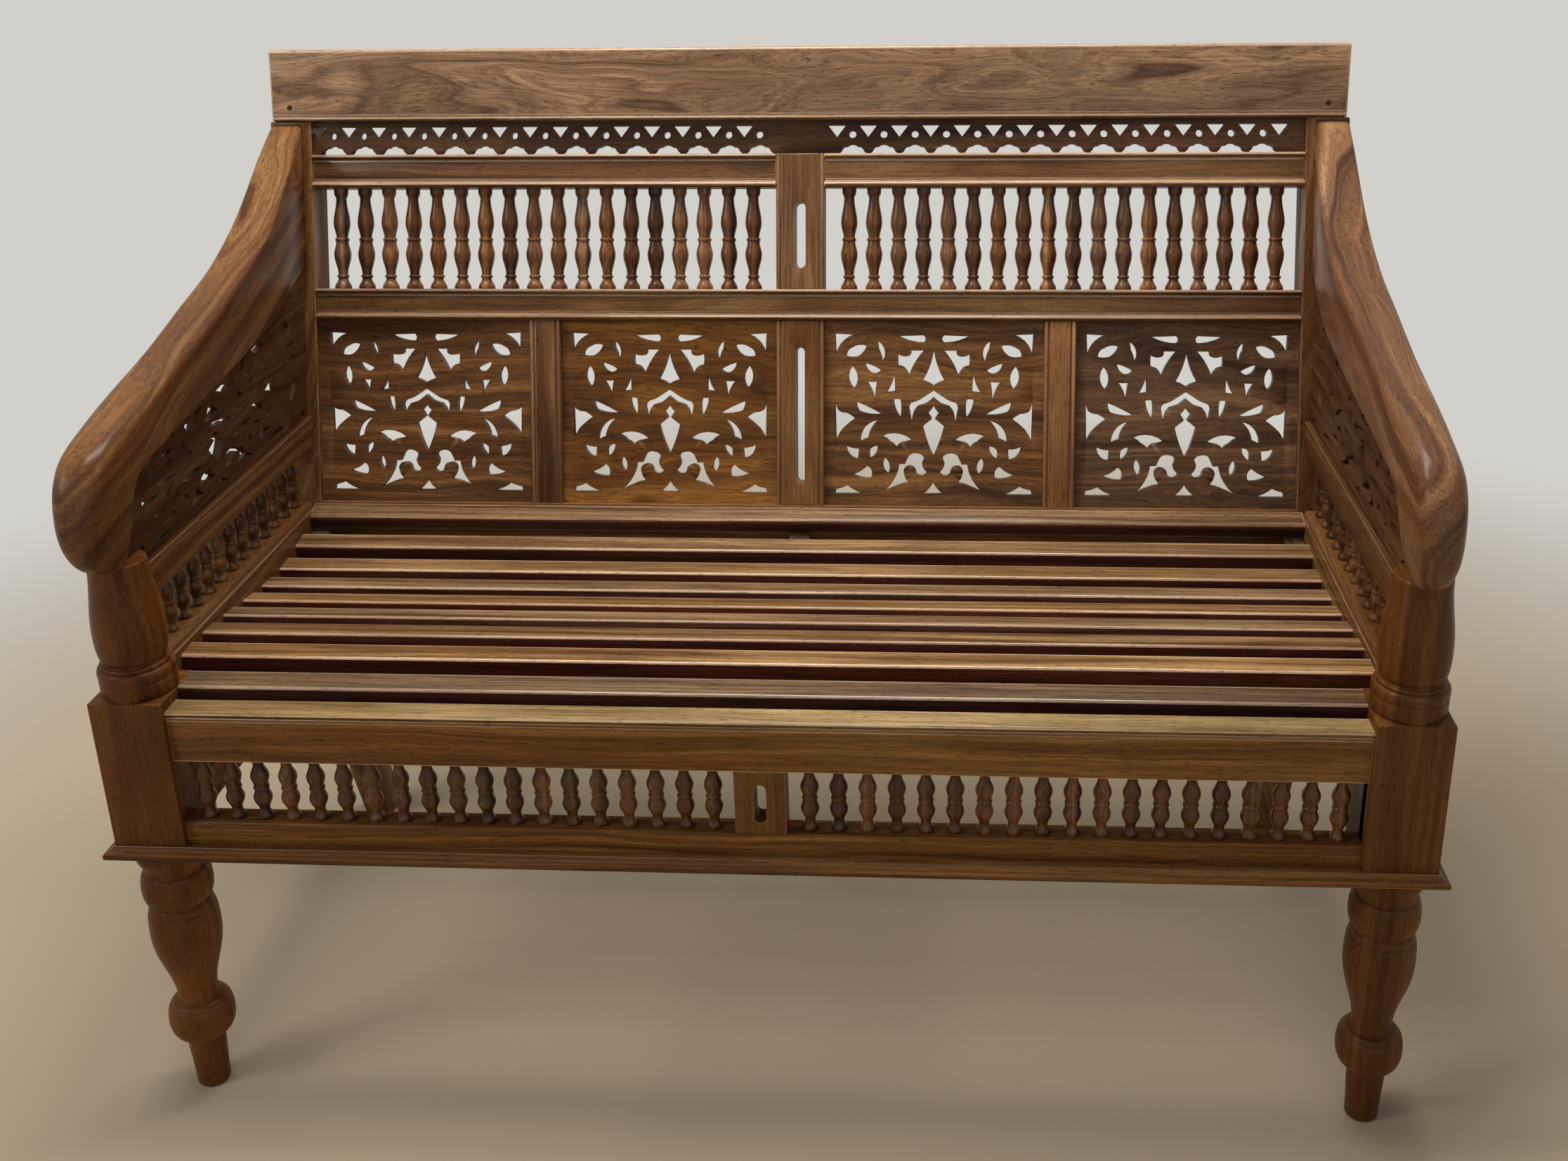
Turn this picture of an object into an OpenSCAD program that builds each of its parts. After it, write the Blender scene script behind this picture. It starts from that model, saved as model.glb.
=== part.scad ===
// Slatted bench in turned, carved and pierced hardwood, in millimetres.
// Origin: middle of the footprint on the floor. +X runs along the seat, -Y is the front, +Z is up.

/* [Overall] */
// Length over the base moulding
overall_w = 1200; // [1150:10:1260]
// Depth from the front faces of the posts to the back at seat height
seat_depth = 422; // [415:1:430]
// Height of the seat where it meets the back
seat_z = 456; // [452:1:460]
// Lean of the back from upright, in degrees
rake = 15.6; // [14:0.2:17]
// Distance up the leaning back from the seat to the top of the crest
back_rise = 493; // [485:1:505]

/* [Front posts] */
// Side of the square block of a front post
post_w = 66; // [64:1:70]
// Underside of the square block
block_z0 = 274; // [270:1:278]
// Underside of the base moulding round the blocks
cap_z0 = 280; // [279:0.5:282]
// Top of the square block
block_z1 = 436; // [432:1:438]
// Top of the turned head, under the arm
head_z = 562; // [560:1:564]
// Radius of the foot on the floor
foot_r = 15.5; // [14.5:0.5:17]
// Setback of the front rails behind the front faces of the posts
front_set = 5; // [3:0.5:7]

/* [Rear posts] */
// Width of a rear post, side to side
rear_post_w = 45; // [40:1:48]
// Thickness of a rear post, front to back
rear_post_d = 42; // [38:1:46]
// Height at which the rear legs start to kick back
kick_z = 291; // [270:1:300]
// Width of a rear foot, side to side
rear_foot_w = 32; // [28:1:40]

/* [Seat frame] */
// Thickness of the front rails
rail_d = 24; // [22:1:28]
// Underside of the seat rails
seat_rail_z0 = 377; // [372:1:382]
// Top of the front seat rail
front_rail_z1 = 439; // [436:1:441]
// Top of the side seat rails
side_rail_z1 = 458; // [455:1:462]
// Thickness of the side rails
side_rail_t = 32; // [28:1:36]
// Underside of the lower rails
low_rail_z0 = 291; // [288:1:294]
// Top of the lower rails
low_rail_z1 = 314; // [311:1:316]
// Overhang of the base moulding beyond the post blocks
base_lip = 9; // [6:1:12]

/* [Seat slats] */
// Number of full slats between the front rail and the rear slat
slat_count = 8; // [8:1:8]
// Width of a slat
slat_w = 26; // [24:0.5:28]
// Thickness of a slat
slat_t = 18; // [16:0.5:20]
// Distance from one slat to the next
slat_pitch = 45.5; // [44:0.5:46]
// Front edge of the first slat, behind the front faces
slat_start = 35; // [33:1:37]
// Height of the slats at the front edge
seat_front_z = 434; // [430:1:436]
// Height of the slats at the swell behind the knees
seat_crown_z = 443.5; // [440:0.5:446]
// Height of the slats at the bottom of the dip
seat_dip_z = 426; // [422:1:430]

/* [Back] */
// Lower edge of the middle back rail, up the back from the seat
mid_t0 = 201; // [198:1:204]
// Upper edge of the middle back rail
mid_t1 = 235; // [232:1:238]
// Lower edge of the upper back rails
upper_t0 = 344; // [340:1:347]
// Upper edge of the upper back rails
upper_t1 = 380; // [376:0.5:382]
// Lower edge of the crest rail
crest_t0 = 416; // [413:1:419]
// Thickness of the back rails and stiles
back_d = 28; // [26:1:32]
// Width of the centre stile
stile_w = 52; // [48:1:56]
// Width of the two panel dividers
divider_w = 34; // [30:1:38]
// Thickness of the pierced panels
panel_d = 9; // [8:0.5:11]
// Setback of the pierced panels behind the face of the back
panel_set = 8; // [6:0.5:9]

/* [Spindles] */
// Number of spindles in each bay of the back
back_spindles = 18; // [16:1:18]
// Number of spindles in each bay of the front apron
apron_spindles = 19; // [17:1:19]
// Number of spindles in each side gallery
side_spindles = 12; // [10:1:12]
// Radius of the round pins on the spindle ends
pin_r = 4; // [3:0.25:4.5]
// Length of the round pins on the spindle ends
pin_l = 8; // [6:1:10]

/* [Arms] */
// Width of an arm near the front
arm_w = 43; // [40:1:46]
// Radius of the rounded edges of an arm
arm_edge_r = 15; // [12:1:16]
// Thickness of the pierced side panels under the arms
fret_d = 8; // [7:0.5:10]

/* [Hidden] */
front_y = -270;
back_y = front_y + seat_depth;
post_x = overall_w / 2 - base_lip - post_w / 2;
post_y = front_y + post_w / 2;
block_in = post_x - post_w / 2;
block_out = post_x + post_w / 2;
bay_x = 535;
rear_out = bay_x + rear_post_w;
rear_mid = bay_x + rear_post_w / 2;
side_x = rear_mid;
side_in = side_x - side_rail_t / 2;
side_out = side_x + side_rail_t / 2;
rail_y0 = front_y + front_set;
rail_y1 = rail_y0 + rail_d;
apron_y = (rail_y0 + rail_y1) / 2;
block_back = front_y + post_w;
rear_face_y = back_y - 6;
knee_z = seat_z - 6 / tan(rake);
foot_y = rear_face_y + kick_z * tan(rake);
side_mid_z0 = 516;
side_mid_z1 = 548;
arm_in_front = 527;
arm_in_rear = 545;
arm_out_front = arm_in_front + arm_w;
fret_x = 551.5;
tenon_l = 28;
crest_out = rear_out - 1;
crest_d = 34;
frieze_pitch = 33.5;
fine = 6;
long_fine = 8;
round_fn = 48;
wood = "#5a3a22";
wood_dark = "#4a2e1c";
wood_light = "#7a5230";

// A value between a and b
function mix(a, b, t) = a + (b - a) * t;

// Signed area of a list of outline rows, to tell which way round it runs
function turn(rows) = let (n = len(rows))
    [for (i = 0, s = 0; i <= n; s = i < n ? s + rows[i].x * rows[(i + 1) % n].y
        - rows[(i + 1) % n].x * rows[i].y : s, i = i + 1) s][n];

// Points of one edge from p towards q. A bow of 1 is a half circle, and a positive one swells out.
function edge(p, q, bow, n) = abs(bow) < 0.001 ? [[p.x, p.y]] :
    let (a = [p.x, p.y], b = [q.x, q.y], half = norm(b - a) / 2, d = (b - a) / (2 * half),
        out = [d.y, -d.x], rise = bow * half, r = (half * half + rise * rise) / (2 * rise),
        mid = (a + b) / 2 + out * (rise - r), sweep = asin(half / abs(r)) * sign(r))
    [for (i = [0:n - 1]) let (f = mix(-sweep, sweep, i / n)) mid + out * r * cos(f) + d * r * sin(f)];

// Closed outline from rows of [x, y] or [x, y, bow of the edge that follows]
function outline(rows, n = fine) = let (way = turn(rows) < 0 ? -1 : 1, m = len(rows))
    [for (i = [0:m - 1]) each edge(rows[i], rows[(i + 1) % m],
        (len(rows[i]) > 2 ? rows[i][2] : 0) * way, n)];

// Turned profile from rows of [height, radius, curve to the next row]
// Curve 0 is straight, 1 is an S, 2 swells out to a crest, 3 falls away from a crest.
function turned(rows, n) = concat(
    [for (i = [0:len(rows) - 2]) let (p = rows[i], q = rows[i + 1], m = p[2] == 0 ? 1 : n)
        for (j = [0:m - 1]) let (t = j / m)
            p[2] == 2 ? [mix(p.y, q.y, sin(90 * t)), mix(p.x, q.x, 1 - cos(90 * t))] :
            p[2] == 3 ? [mix(p.y, q.y, 1 - cos(90 * t)), mix(p.x, q.x, sin(90 * t))] :
            [mix(p.y, q.y, p[2] == 0 ? t : (1 - cos(180 * t)) / 2), mix(p.x, q.x, t)]],
    [let (e = rows[len(rows) - 1]) [e.y, e.x]]);

module lathe(rows, n) {
    pts = turned(rows, n);
    rotate_extrude($fn = round_fn)
        polygon(concat([[0, rows[0].x]], pts, [[0, rows[len(rows) - 1].x]]));
}

// Extrudes an outline drawn in Y and Z from x0 to x1
module along_x(x0, x1) {
    translate([x0, 0, 0]) rotate([90, 0, 90]) linear_extrude(x1 - x0) children();
}

// Extrudes an outline drawn in X and Z from y0 to y1
module along_y(y0, y1) {
    translate([0, y1, 0]) rotate([90, 0, 0]) linear_extrude(y1 - y0) children();
}

// A box between two opposite corners
module block(a, b) {
    translate(a) cube(b - a);
}

// Places children in the leaning back: X across, Y into the thickness, Z up the slope
module in_back() {
    translate([0, back_y, seat_z]) rotate([-rake, 0, 0]) children();
}

// Point of the leaning back in Y and Z, t up the slope and d into the thickness
function back_point(t, d) = [back_y + t * sin(rake) + d * cos(rake),
    seat_z + t * cos(rake) - d * sin(rake)];

// Puts a left piece on the right side by mirroring it
module on_side(right) {
    mirror([right ? 1 : 0, 0, 0]) children();
}

// Height of the slats' top, s behind the front faces: a cubic through four chosen heights
seat_keys = [[35, seat_front_z], [126, seat_crown_z], [308, seat_dip_z], [seat_depth, seat_z]];
function weight(s, i) = let (k = seat_keys)
    [for (j = 0, w = 1; j <= 4; w = j < 4 && j != i ? w * (s - k[j].x) / (k[i].x - k[j].x) : w,
        j = j + 1) w][4];
function seat_top(s) = [for (i = 0, z = 0; i <= 4;
    z = i < 4 ? z + weight(s, i) * seat_keys[i].y : z, i = i + 1) z][4];

// Front posts, each one turning with a square block left in it
vase_z = 496;
vase_r = 30.8;
head_r = 24.8;
block_r = post_w / 2;
front_post_rows = [[0, foot_r - 2.5, 2], [3, foot_r, 1], [58, 17.6, 0], [59.5, 19.5, 2], [79.5, 30.5, 3],
    [96.5, 25.8, 0], [97, 25, 0], [97.6, 25.2, 3], [101, 18.8, 1], [106, 18.2, 1], [178, 32, 3],
    [202.5, 30, 0], [203.1, 29.3, 0], [203.7, 29.5, 3], [211.5, 26.5, 0], [213, 26, 0], [214.5, 27, 2],
    [230, 32, 3], [248, 26.8, 0], [250, 26.6, 1], [268, block_r - 1, 0], [block_z0 + 1, block_r - 0.4]];
head_rows = [[block_z1 - 1, block_r - 2, 0], [block_z1 + 1, block_r - 0.6, 0], [451, block_r - 0.4, 0],
    [452, block_r - 1.2, 2], [457, block_r, 3], [462, 30.6, 0], [462.6, 29, 2], [464.5, 29.8, 3],
    [466.5, 28, 0], [467, 26.8, 1], [470, 27.2, 2], [vase_z, vase_r, 1], [head_z - 2, head_r, 3],
    [head_z, head_r - 2]];

module front_post() {
    color(wood) difference() {
        translate([-post_x, post_y, 0]) union() {
            lathe(front_post_rows, long_fine);
            translate([-post_w / 2, -post_w / 2, block_z0]) cube([post_w, post_w, block_z1 - block_z0]);
            lathe(head_rows, long_fine);
        }
        front_tenons();
        side_tenons_front();
        dowels();
    }
}

// Tenons of the front rails in the left post
module front_tenons() {
    for (z = [[seat_rail_z0 + 8, front_rail_z1 - 16], [low_rail_z0 + 4, low_rail_z1 - 4]])
        block([-block_in - tenon_l, rail_y0 + 7, z[0]], [-block_in + 1, rail_y0 + 17, z[1]]);
}

// Tenons of the left side rails in the front post
module side_tenons_front() {
    for (z = [[seat_rail_z0 + 8, block_z1 - 12], [low_rail_z0 + 4, low_rail_z1 - 4]])
        block([-side_x - 6, block_back - tenon_l, z[0]], [-side_x + 6, block_back + 1, z[1]]);
}

// Tenons of the left side rails in the rear post
module side_tenons_rear() {
    for (z = [[seat_rail_z0 + 8, side_rail_z1 - 12], [low_rail_z0 + 4, low_rail_z1 - 4],
            [side_mid_z0 + 6, side_mid_z1 - 6]])
        block([-side_x - 6, rear_face_y - 1, z[0]], [-side_x + 6, rear_face_y + 24, z[1]]);
}

// Rear posts, sawn to a lean above the seat and a kick below it
module rear_post() {
    top = back_point(crest_t0, 0);
    top_back = back_point(crest_t0, rear_post_d);
    knee_back = rear_face_y + rear_post_d * 1.05;
    color(wood) difference() {
        union() {
            intersection() {
                along_x(-rear_out, -bay_x + 4) polygon([[foot_y, 0], [rear_face_y, kick_z],
                    [rear_face_y, knee_z], top, top_back, [knee_back, knee_z - 4],
                    [knee_back, kick_z - 12], [foot_y + rear_post_d * 0.84, 0]]);
                along_y(front_y, back_y + 300) polygon([[-bay_x + 2 - rear_foot_w, 0], [-rear_out, kick_z],
                    [-rear_out, seat_z + back_rise], [-bay_x, seat_z + back_rise], [-bay_x, kick_z],
                    [-bay_x + 2, 0]]);
            }
            in_back() block([-rear_mid - 14, 8, crest_t0 - 1], [-rear_mid + 14, 20, crest_t0 + 45]);
        }
        back_tenons();
        side_tenons_rear();
        dowels();
    }
}

// Tenons of the back rails in the left rear post
module back_tenons() {
    in_back() for (t = [[mid_t0 + 7, mid_t1 - 7], [upper_t0 + 7, upper_t1 - 7]])
        block([-bay_x - tenon_l, 9, t[0]], [-bay_x + 1, 19, t[1]]);
    for (z = [[seat_rail_z0 + 8, seat_z - 26], [low_rail_z0 + 4, low_rail_z1 - 4]])
        block([-bay_x - tenon_l, rear_face_y + 10, z[0]], [-bay_x + 1, rear_face_y + 20, z[1]]);
}

// Dowels from the arm into the rear post and down into the head of the front post
dowel_r = 5;
module dowels() {
    in_back() for (t = [300, 370])
        translate([-rear_mid - 5, 20, t]) rotate([90, 0, 0]) cylinder(r = dowel_r, h = 44, $fn = round_fn);
    translate([-post_x + 4.5, front_y + 19, head_z - 28]) cylinder(r = dowel_r, h = 56, $fn = round_fn);
}

// Crest rail: a plain board with a bead along its lower front edge
module crest_rail() {
    rows = [[-4 + crest_d, crest_t0], [-4 + crest_d, back_rise - 3, 0.35], [-7 + crest_d, back_rise, 0],
        [0, back_rise, 0.42], [-4, back_rise - 4, 0], [-4, crest_t0 + 5, 0], [-2.5, crest_t0 + 4.4, 0],
        [-2.5, crest_t0 + 4, 0.9], [-2.5, crest_t0]];
    color(wood_light) difference() {
        in_back() intersection() {
            along_x(-crest_out, crest_out) polygon(outline(rows));
            along_y(-10, crest_d) polygon(outline([[-crest_out + 3, crest_t0],
                [-crest_out, back_rise - 4, 0.4], [-crest_out + 3, back_rise],
                [crest_out - 3, back_rise, 0.4], [crest_out, back_rise - 4], [crest_out - 3, crest_t0]]));
        }
        in_back() for (s = [-1, 1])
            block([s * rear_mid - 14, 8, crest_t0 - 1], [s * rear_mid + 14, 20, crest_t0 + 45]);
        in_back() block([-bay_x - 1, 7, crest_t0 - 1], [bay_x + 1, 7 + frieze_d, crest_t0 + 5]);
        in_back() block([-stile_w / 2 + 8, 20, crest_t0 - 1], [stile_w / 2 - 8, back_d - 1, crest_t0 + 25]);
    }
}

// Frieze board under the crest: triangles, dots and a scalloped lower edge
frieze_d = 8;
frieze_first = -530;
frieze_count = 32;
frieze_tooth = [[-9.5, 10.3], [0, -2.2], [9.5, 10.3]];
scallop = [[2.5, -1], [2.5, 1.5, -0.2], [5.5, 4.5, 0.35], [11, 7.5, 0.4], [22.5, 7.5, 0.35],
    [28, 4.5, -0.2], [31, 1.5], [31, -1]];

module frieze_board() {
    color(wood_dark) in_back() along_y(7, 7 + frieze_d) difference() {
        translate([-bay_x, upper_t1]) square([2 * bay_x, crest_t0 + 5 - upper_t1]);
        for (i = [0:frieze_count - 1]) {
            x = frieze_first + i * frieze_pitch;
            if (abs(x) > stile_w / 2 + 8)
                translate([x, crest_t0 - 16]) polygon(frieze_tooth);
            if (abs(x + frieze_pitch / 2) > stile_w / 2 + 8 && i < frieze_count - 1)
                translate([x + frieze_pitch / 2, crest_t0 - 15.5]) circle(r = 3.8, $fn = 24);
            if (abs(x + frieze_pitch / 2) > stile_w / 2 + 12 && i < frieze_count - 1)
                translate([x, upper_t1]) polygon(outline(scallop));
        }
    }
}

// Profile of a back rail: beads along both edges of the face
function rail_rows(t0, t1) = [[back_d, t0], [back_d, t1, 0], [0.5, t1, 0.9], [0.5, t1 - 5, 0], [3, t1 - 6, 0],
    [2, t1 - 8, 0], [2, t0 + 9, 0], [3.5, t0 + 7.5, 0], [1, t0 + 6.5, 0.9], [0.5, t0, 0]];

// Holes for the spindle pins along a bay, facing up or down
module pin_holes(xs, y, t, depth) {
    for (x = xs)
        translate([x, y, t]) cylinder(r = pin_r, h = depth, $fn = round_fn);
}

back_pitch = (bay_x - stile_w / 2) / (back_spindles + 0.95);
function back_xs() = [for (i = [0:back_spindles - 1])
    -bay_x + (bay_x - stile_w / 2 - back_pitch * (back_spindles - 1)) / 2 + i * back_pitch];
spindle_d = 15;

module upper_rail() {
    color(wood) in_back() difference() {
        union() {
            along_x(-bay_x, -stile_w / 2) polygon(outline(rail_rows(upper_t0, upper_t1)));
            block([-bay_x - tenon_l + 1, 9, upper_t0 + 7], [-bay_x + 1, 19, upper_t1 - 7]);
            block([-stile_w / 2 - 1, 9, upper_t0 + 7], [-stile_w / 2 + 14, 19, upper_t1 - 7]);
        }
        pin_holes(back_xs(), spindle_d, upper_t0 - 1, pin_l + 1.5);
    }
}

module middle_rail() {
    color(wood) in_back() difference() {
        union() {
            along_x(-bay_x, bay_x) polygon(outline(rail_rows(mid_t0, mid_t1)));
            for (s = [-1, 1])
                block([s * (bay_x + tenon_l / 2 - 1) - tenon_l / 2, 9, mid_t0 + 7],
                    [s * (bay_x + tenon_l / 2 - 1) + tenon_l / 2, 19, mid_t1 - 7]);
        }
        for (s = [0, 1])
            mirror([s, 0, 0]) pin_holes(back_xs(), spindle_d, mid_t1 - pin_l - 0.5, pin_l + 3);
        block([-bay_x - 1, panel_set, mid_t0 - 1], [bay_x + 1, panel_set + panel_d, mid_t0 + 6]);
        block([-15, 9, mid_t1 - 14], [15, 19, mid_t1 + 1]);
        block([-15, 21, mid_t0 - 1], [15, 27, mid_t0 + 14]);
    }
}

// Rail behind the last slat, which carries the panels and the lower stiles
module rear_seat_rail() {
    top = seat_z - 2;
    color(wood) difference() {
        union() {
            along_x(-bay_x, bay_x) polygon([[rear_face_y, seat_rail_z0], back_point(-24, 0), back_point(0, 0),
                back_point(0, back_d), [back_y + back_d, seat_z - 34], [back_y + back_d, seat_rail_z0]]);
            for (s = [-1, 1])
                block([s * (bay_x + tenon_l / 2 - 1) - tenon_l / 2, rear_face_y + 10, seat_rail_z0 + 8],
                    [s * (bay_x + tenon_l / 2 - 1) + tenon_l / 2, rear_face_y + 20, seat_z - 26]);
        }
        in_back() block([-bay_x - 1, panel_set, -6], [bay_x + 1, panel_set + panel_d, 1]);
        in_back() for (x = [-panel_centre(0) - divider_gap / 2, 0, panel_centre(0) + divider_gap / 2])
            block([x - 10, 21, -14], [x + 10, 27, 1]);
    }
}

// A moulded upright of the back: a flat face between two edge beads
function stile_rows(w, d) = let (e = w / 2) [[-e, d], [-e, 1.5, 0.8], [-e + 4.5, 1.5, 0], [-e + 5.5, 2.5, 0],
    [-e + 6.5, 0, 0], [e - 6.5, 0, 0], [e - 5.5, 2.5, 0], [e - 4.5, 1.5, 0.8], [e, 1.5, 0], [e, d]];

module stile(x, w, t0, t1) {
    translate([x, 0, t0]) linear_extrude(t1 - t0) polygon(outline(stile_rows(w, back_d), 4));
}

// A long round-ended slot, cut right through
module slot(w, t0, t1) {
    for (t = [t0 + w / 2, t1 - w / 2])
        translate([0, back_d + 10, t]) rotate([90, 0, 0]) cylinder(d = w, h = back_d + 20, $fn = round_fn);
    block([-w / 2, -10, t0 + w / 2], [w / 2, back_d + 10, t1 - w / 2]);
}

module centre_stile_upper() {
    color(wood) in_back() difference() {
        union() {
            stile(0, stile_w, mid_t1, upper_t1);
            block([-14, 9, mid_t1 - 13], [14, 19, mid_t1 + 1]);
            block([-stile_w / 2 + 8, 20, upper_t1 - 1], [stile_w / 2 - 8, back_d - 1, crest_t0 + 24]);
        }
        slot(11.8, 258, 328);
        for (s = [-1, 1])
            block([s * stile_w / 2 - 15, 9, upper_t0 + 7], [s * stile_w / 2 + 15, 19, upper_t1 - 7]);
    }
}

module centre_stile_lower() {
    color(wood) in_back() difference() {
        union() {
            stile(0, stile_w, 0, mid_t0);
            block([-9, 21, -13], [9, 27, 1]);
            block([-14, 21, mid_t0 - 1], [14, 27, mid_t0 + 13]);
        }
        slot(9.7, 25, 172);
        for (s = [-1, 1])
            block([s * stile_w / 2 - 6, panel_set, -1],
                [s * stile_w / 2 + 6, panel_set + panel_d, mid_t0 + 1]);
    }
}

// Four equal panels with a divider in each half
panel_w = (bay_x - stile_w / 2 - divider_w) / 2;
divider_gap = panel_w + divider_w;
function panel_centre(i) = stile_w / 2 + panel_w / 2 + i * divider_gap;
divider_x = stile_w / 2 + panel_w + divider_w / 2;

module panel_divider() {
    color(wood) in_back() difference() {
        union() {
            stile(-divider_x, divider_w, 0, mid_t0);
            block([-divider_x - 9, 21, -13], [-divider_x + 9, 27, 1]);
        }
        for (s = [-1, 1])
            block([-divider_x + s * divider_w / 2 - 6, panel_set, -1],
                [-divider_x + s * divider_w / 2 + 6, panel_set + panel_d, mid_t0 + 1]);
    }
}

// Cut-outs of one half of a panel, as distance from the middle, height and bow of each edge
leaf_holes = [
    [[104, 187], [86, 186, -0.25], [103, 166]],
    [[11, 178, 0.12], [36, 184.5, 0], [11, 185.5, 0.6]],
    [[92, 163, 0.35], [86, 172, 0.25], [71, 174, 0.2], [80, 163, 0.15]],
    [[59, 179, 0.45], [54, 158, -0.1], [58, 171, 0]],
    [[86, 152, 0.4], [84, 128, 0.4]],
    [[72, 155, 0.1], [56, 148, 0.3], [64, 144.5, 0.3]],
    [[70, 135, -0.05], [60, 135, -0.05], [62, 116, -0.12]],
    [[42, 142, 0.06], [41, 125, 0], [49, 124, -0.12]],
    [[37, 165, -0.2], [30, 162.5, -0.2], [25, 164, -0.3], [24, 169, 0], [11, 169, -0.1], [26, 143, -0.12],
        [31, 151, -0.15], [37, 153, 0.1]],
    [[42, 116, 0.1], [35, 116, 0.1], [35, 97, 0.15]],
    [[81, 113, 0.04], [55, 100, 0.12], [78, 103, 0.2]],
    [[104, 117, -0.1], [101, 104, -0.2], [92, 101, 0.1], [83, 95, -0.06], [97, 83, -0.05], [103, 72, 0]],
    [[59, 93, 0.3], [76, 78, 0.1], [77, 70, -0.1], [69, 74, -0.2]],
    [[54, 76, 0.3], [23, 72, 0.05], [33, 69.5, -0.2], [39, 64, -0.2], [46, 70, -0.15]],
    [[92, 65, -0.15], [79, 62, 0.05], [80, 51, 0.2], [88, 55, 0.2]],
    [[67, 61, 0.25], [59, 65, 0.2], [62, 56, 0.2], [67, 52, 0.1]],
    [[51, 52, 0.4], [48, 35, 0.4]],
    [[70, 43, 0.25], [65, 37, 0.15], [66, 30, 0.15], [85, 34, -0.15]],
    [[52, 15, -0.1], [40, 31, -0.1], [36, 45, 0.1], [30, 45, 0], [26, 54, 0.3], [17, 57, 0.25], [10, 53, 0.1],
        [12, 47, -0.25], [7, 37, 0.35], [13, 33, 0.2], [18, 36, -0.25], [21, 42.5, -0.2], [27, 43.5, -0.3],
        [31.5, 37.5, -0.1], [29, 29, 0.1], [26.5, 25, -0.1], [39, 21.5, -0.05]],
    [[104, 12.5], [103, 17.5, -0.1], [91, 21.5, -0.1], [74, 12.5, 0]]];

// Cut-outs on the middle line of a panel
middle_holes = [
    [[0, 169, -0.1], [11, 137, -0.1], [0, 131.5, -0.1], [-11, 137, -0.1]],
    [[0, 125.5], [11, 118, -0.1], [23, 112.5, 0.35], [25, 104], [23, 92, -0.1], [20, 105, 0.1], [17, 109],
        [8, 112, 0.05], [0, 118.7, 0.05], [-8, 112], [-17, 109, 0.1], [-20, 105, -0.1], [-23, 92],
        [-25, 104, 0.35], [-23, 112.5, -0.1], [-11, 118]],
    [[0, 109, -0.1], [5.5, 101.5, -0.05], [1.5, 95, 0], [11, 87, 0.06], [0, 55, 0.06], [-11, 87, 0],
        [-1.5, 95, -0.05], [-5.5, 101.5, -0.1]],
    [[0, 25, -0.1], [10, 13, 0], [-10, 13, -0.1]]];

// Stretches an outline sideways and keeps its bows
function widened(rows, k) = [for (p = rows) len(p) > 2 ? [p.x * k, p.y, p[2]] : [p.x * k, p.y]];

pierce_spread = 1.03;

module panel_piercings() {
    for (rows = leaf_holes, s = [-1, 1])
        polygon(outline(widened(rows, s * pierce_spread), 5));
    for (rows = middle_holes)
        polygon(outline(widened(rows, pierce_spread), 5));
}

module pierced_panel(x) {
    color(wood_light) in_back() translate([x, 0, 0])
        along_y(panel_set, panel_set + panel_d) difference() {
            translate([-panel_w / 2 - 5.5, -5.5]) square([panel_w + 11, mid_t0 + 11]);
            panel_piercings();
        }
}

// Tall spindle of the back: two vases with a bead between them
function back_spindle_rows(l) = [[0, 8.8, 0], [1.5, 9.2, 1], [0.105 * l, 5, 0], [0.115 * l, 6.3, 2],
    [0.128 * l, 6.5, 3], [0.14 * l, 5, 1], [0.345 * l, 9.2, 1], [0.475 * l, 6.6, 0], [0.48 * l, 7.4, 2],
    [0.492 * l, 7.7, 3], [0.505 * l, 7.2, 0], [0.51 * l, 6.1, 1], [0.655 * l, 9, 1], [0.9 * l, 5.5, 1],
    [0.955 * l, 7.6, 0], [l, 7.8]];

// Short spindle of the aprons and sides: two small vases with a groove between them
function short_spindle_rows(l) = [[0, 6.8, 0], [2, 7.2, 1], [0.14 * l, 4.4, 1], [0.33 * l, 8.3, 1],
    [0.47 * l, 6.2, 0], [0.49 * l, 7, 0], [0.51 * l, 7, 0], [0.53 * l, 6.2, 1], [0.68 * l, 8.3, 1],
    [0.88 * l, 4.4, 1], [0.97 * l, 6.9, 0], [l, 6.9]];

module pinned_spindle(rows, l, n) {
    lathe(rows, n);
    translate([0, 0, -pin_l]) cylinder(r = pin_r, h = l + 2 * pin_l, $fn = round_fn);
}

module back_spindle_row() {
    l = upper_t0 - mid_t1;
    color(wood) in_back() for (x = back_xs())
        translate([x, spindle_d, mid_t1]) pinned_spindle(back_spindle_rows(l), l, 3);
}

// Arm: ribs from top [y, z] to underside [y, z] behind the front faces, its inner and outer sides,
// and how much of the full edge rounding its top corners have
arm_rear_top = back_point(crest_t0 - 2, 2) - [front_y, 0];
arm_rear_low = back_point(258, 2) - [front_y, 0];
arm_ribs = [
    [arm_rear_top.x, arm_rear_top.y, arm_rear_low.x, arm_rear_low.y, arm_in_rear, rear_out, 0.35],
    [482, 829, 436, 694, 538, 577, 0.35], [402, 784, 366, 680, 531, 574, 0.4],
    [322, 751, 300, 671, 528, 572, 0.4], [242, 731, 230, 662, 527, 571, 0.45],
    [162, 712, 155, 653, 527, 570, 0.55], [82, 697, 80, 643, 527, 570, 0.7],
    [38, 688, 48, 637, 527, 570, 0.85], [4, 679, 38, 629, 528, 570, 0.95],
    [-18, 668, 33, 619, 529, 570, 1], [-34, 649, 30, 607, 531, 569, 1], [-41, 624, 28.5, 595, 533, 568, 1],
    [-39, 602, 28, 584, 536, 567, 1], [-29, 583, 27.5, 575, 539, 566, 1],
    [-15, 570, 27, 568, 541, 565, 1], [2, head_z, 27, head_z, 543, 564, 1]];

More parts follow.
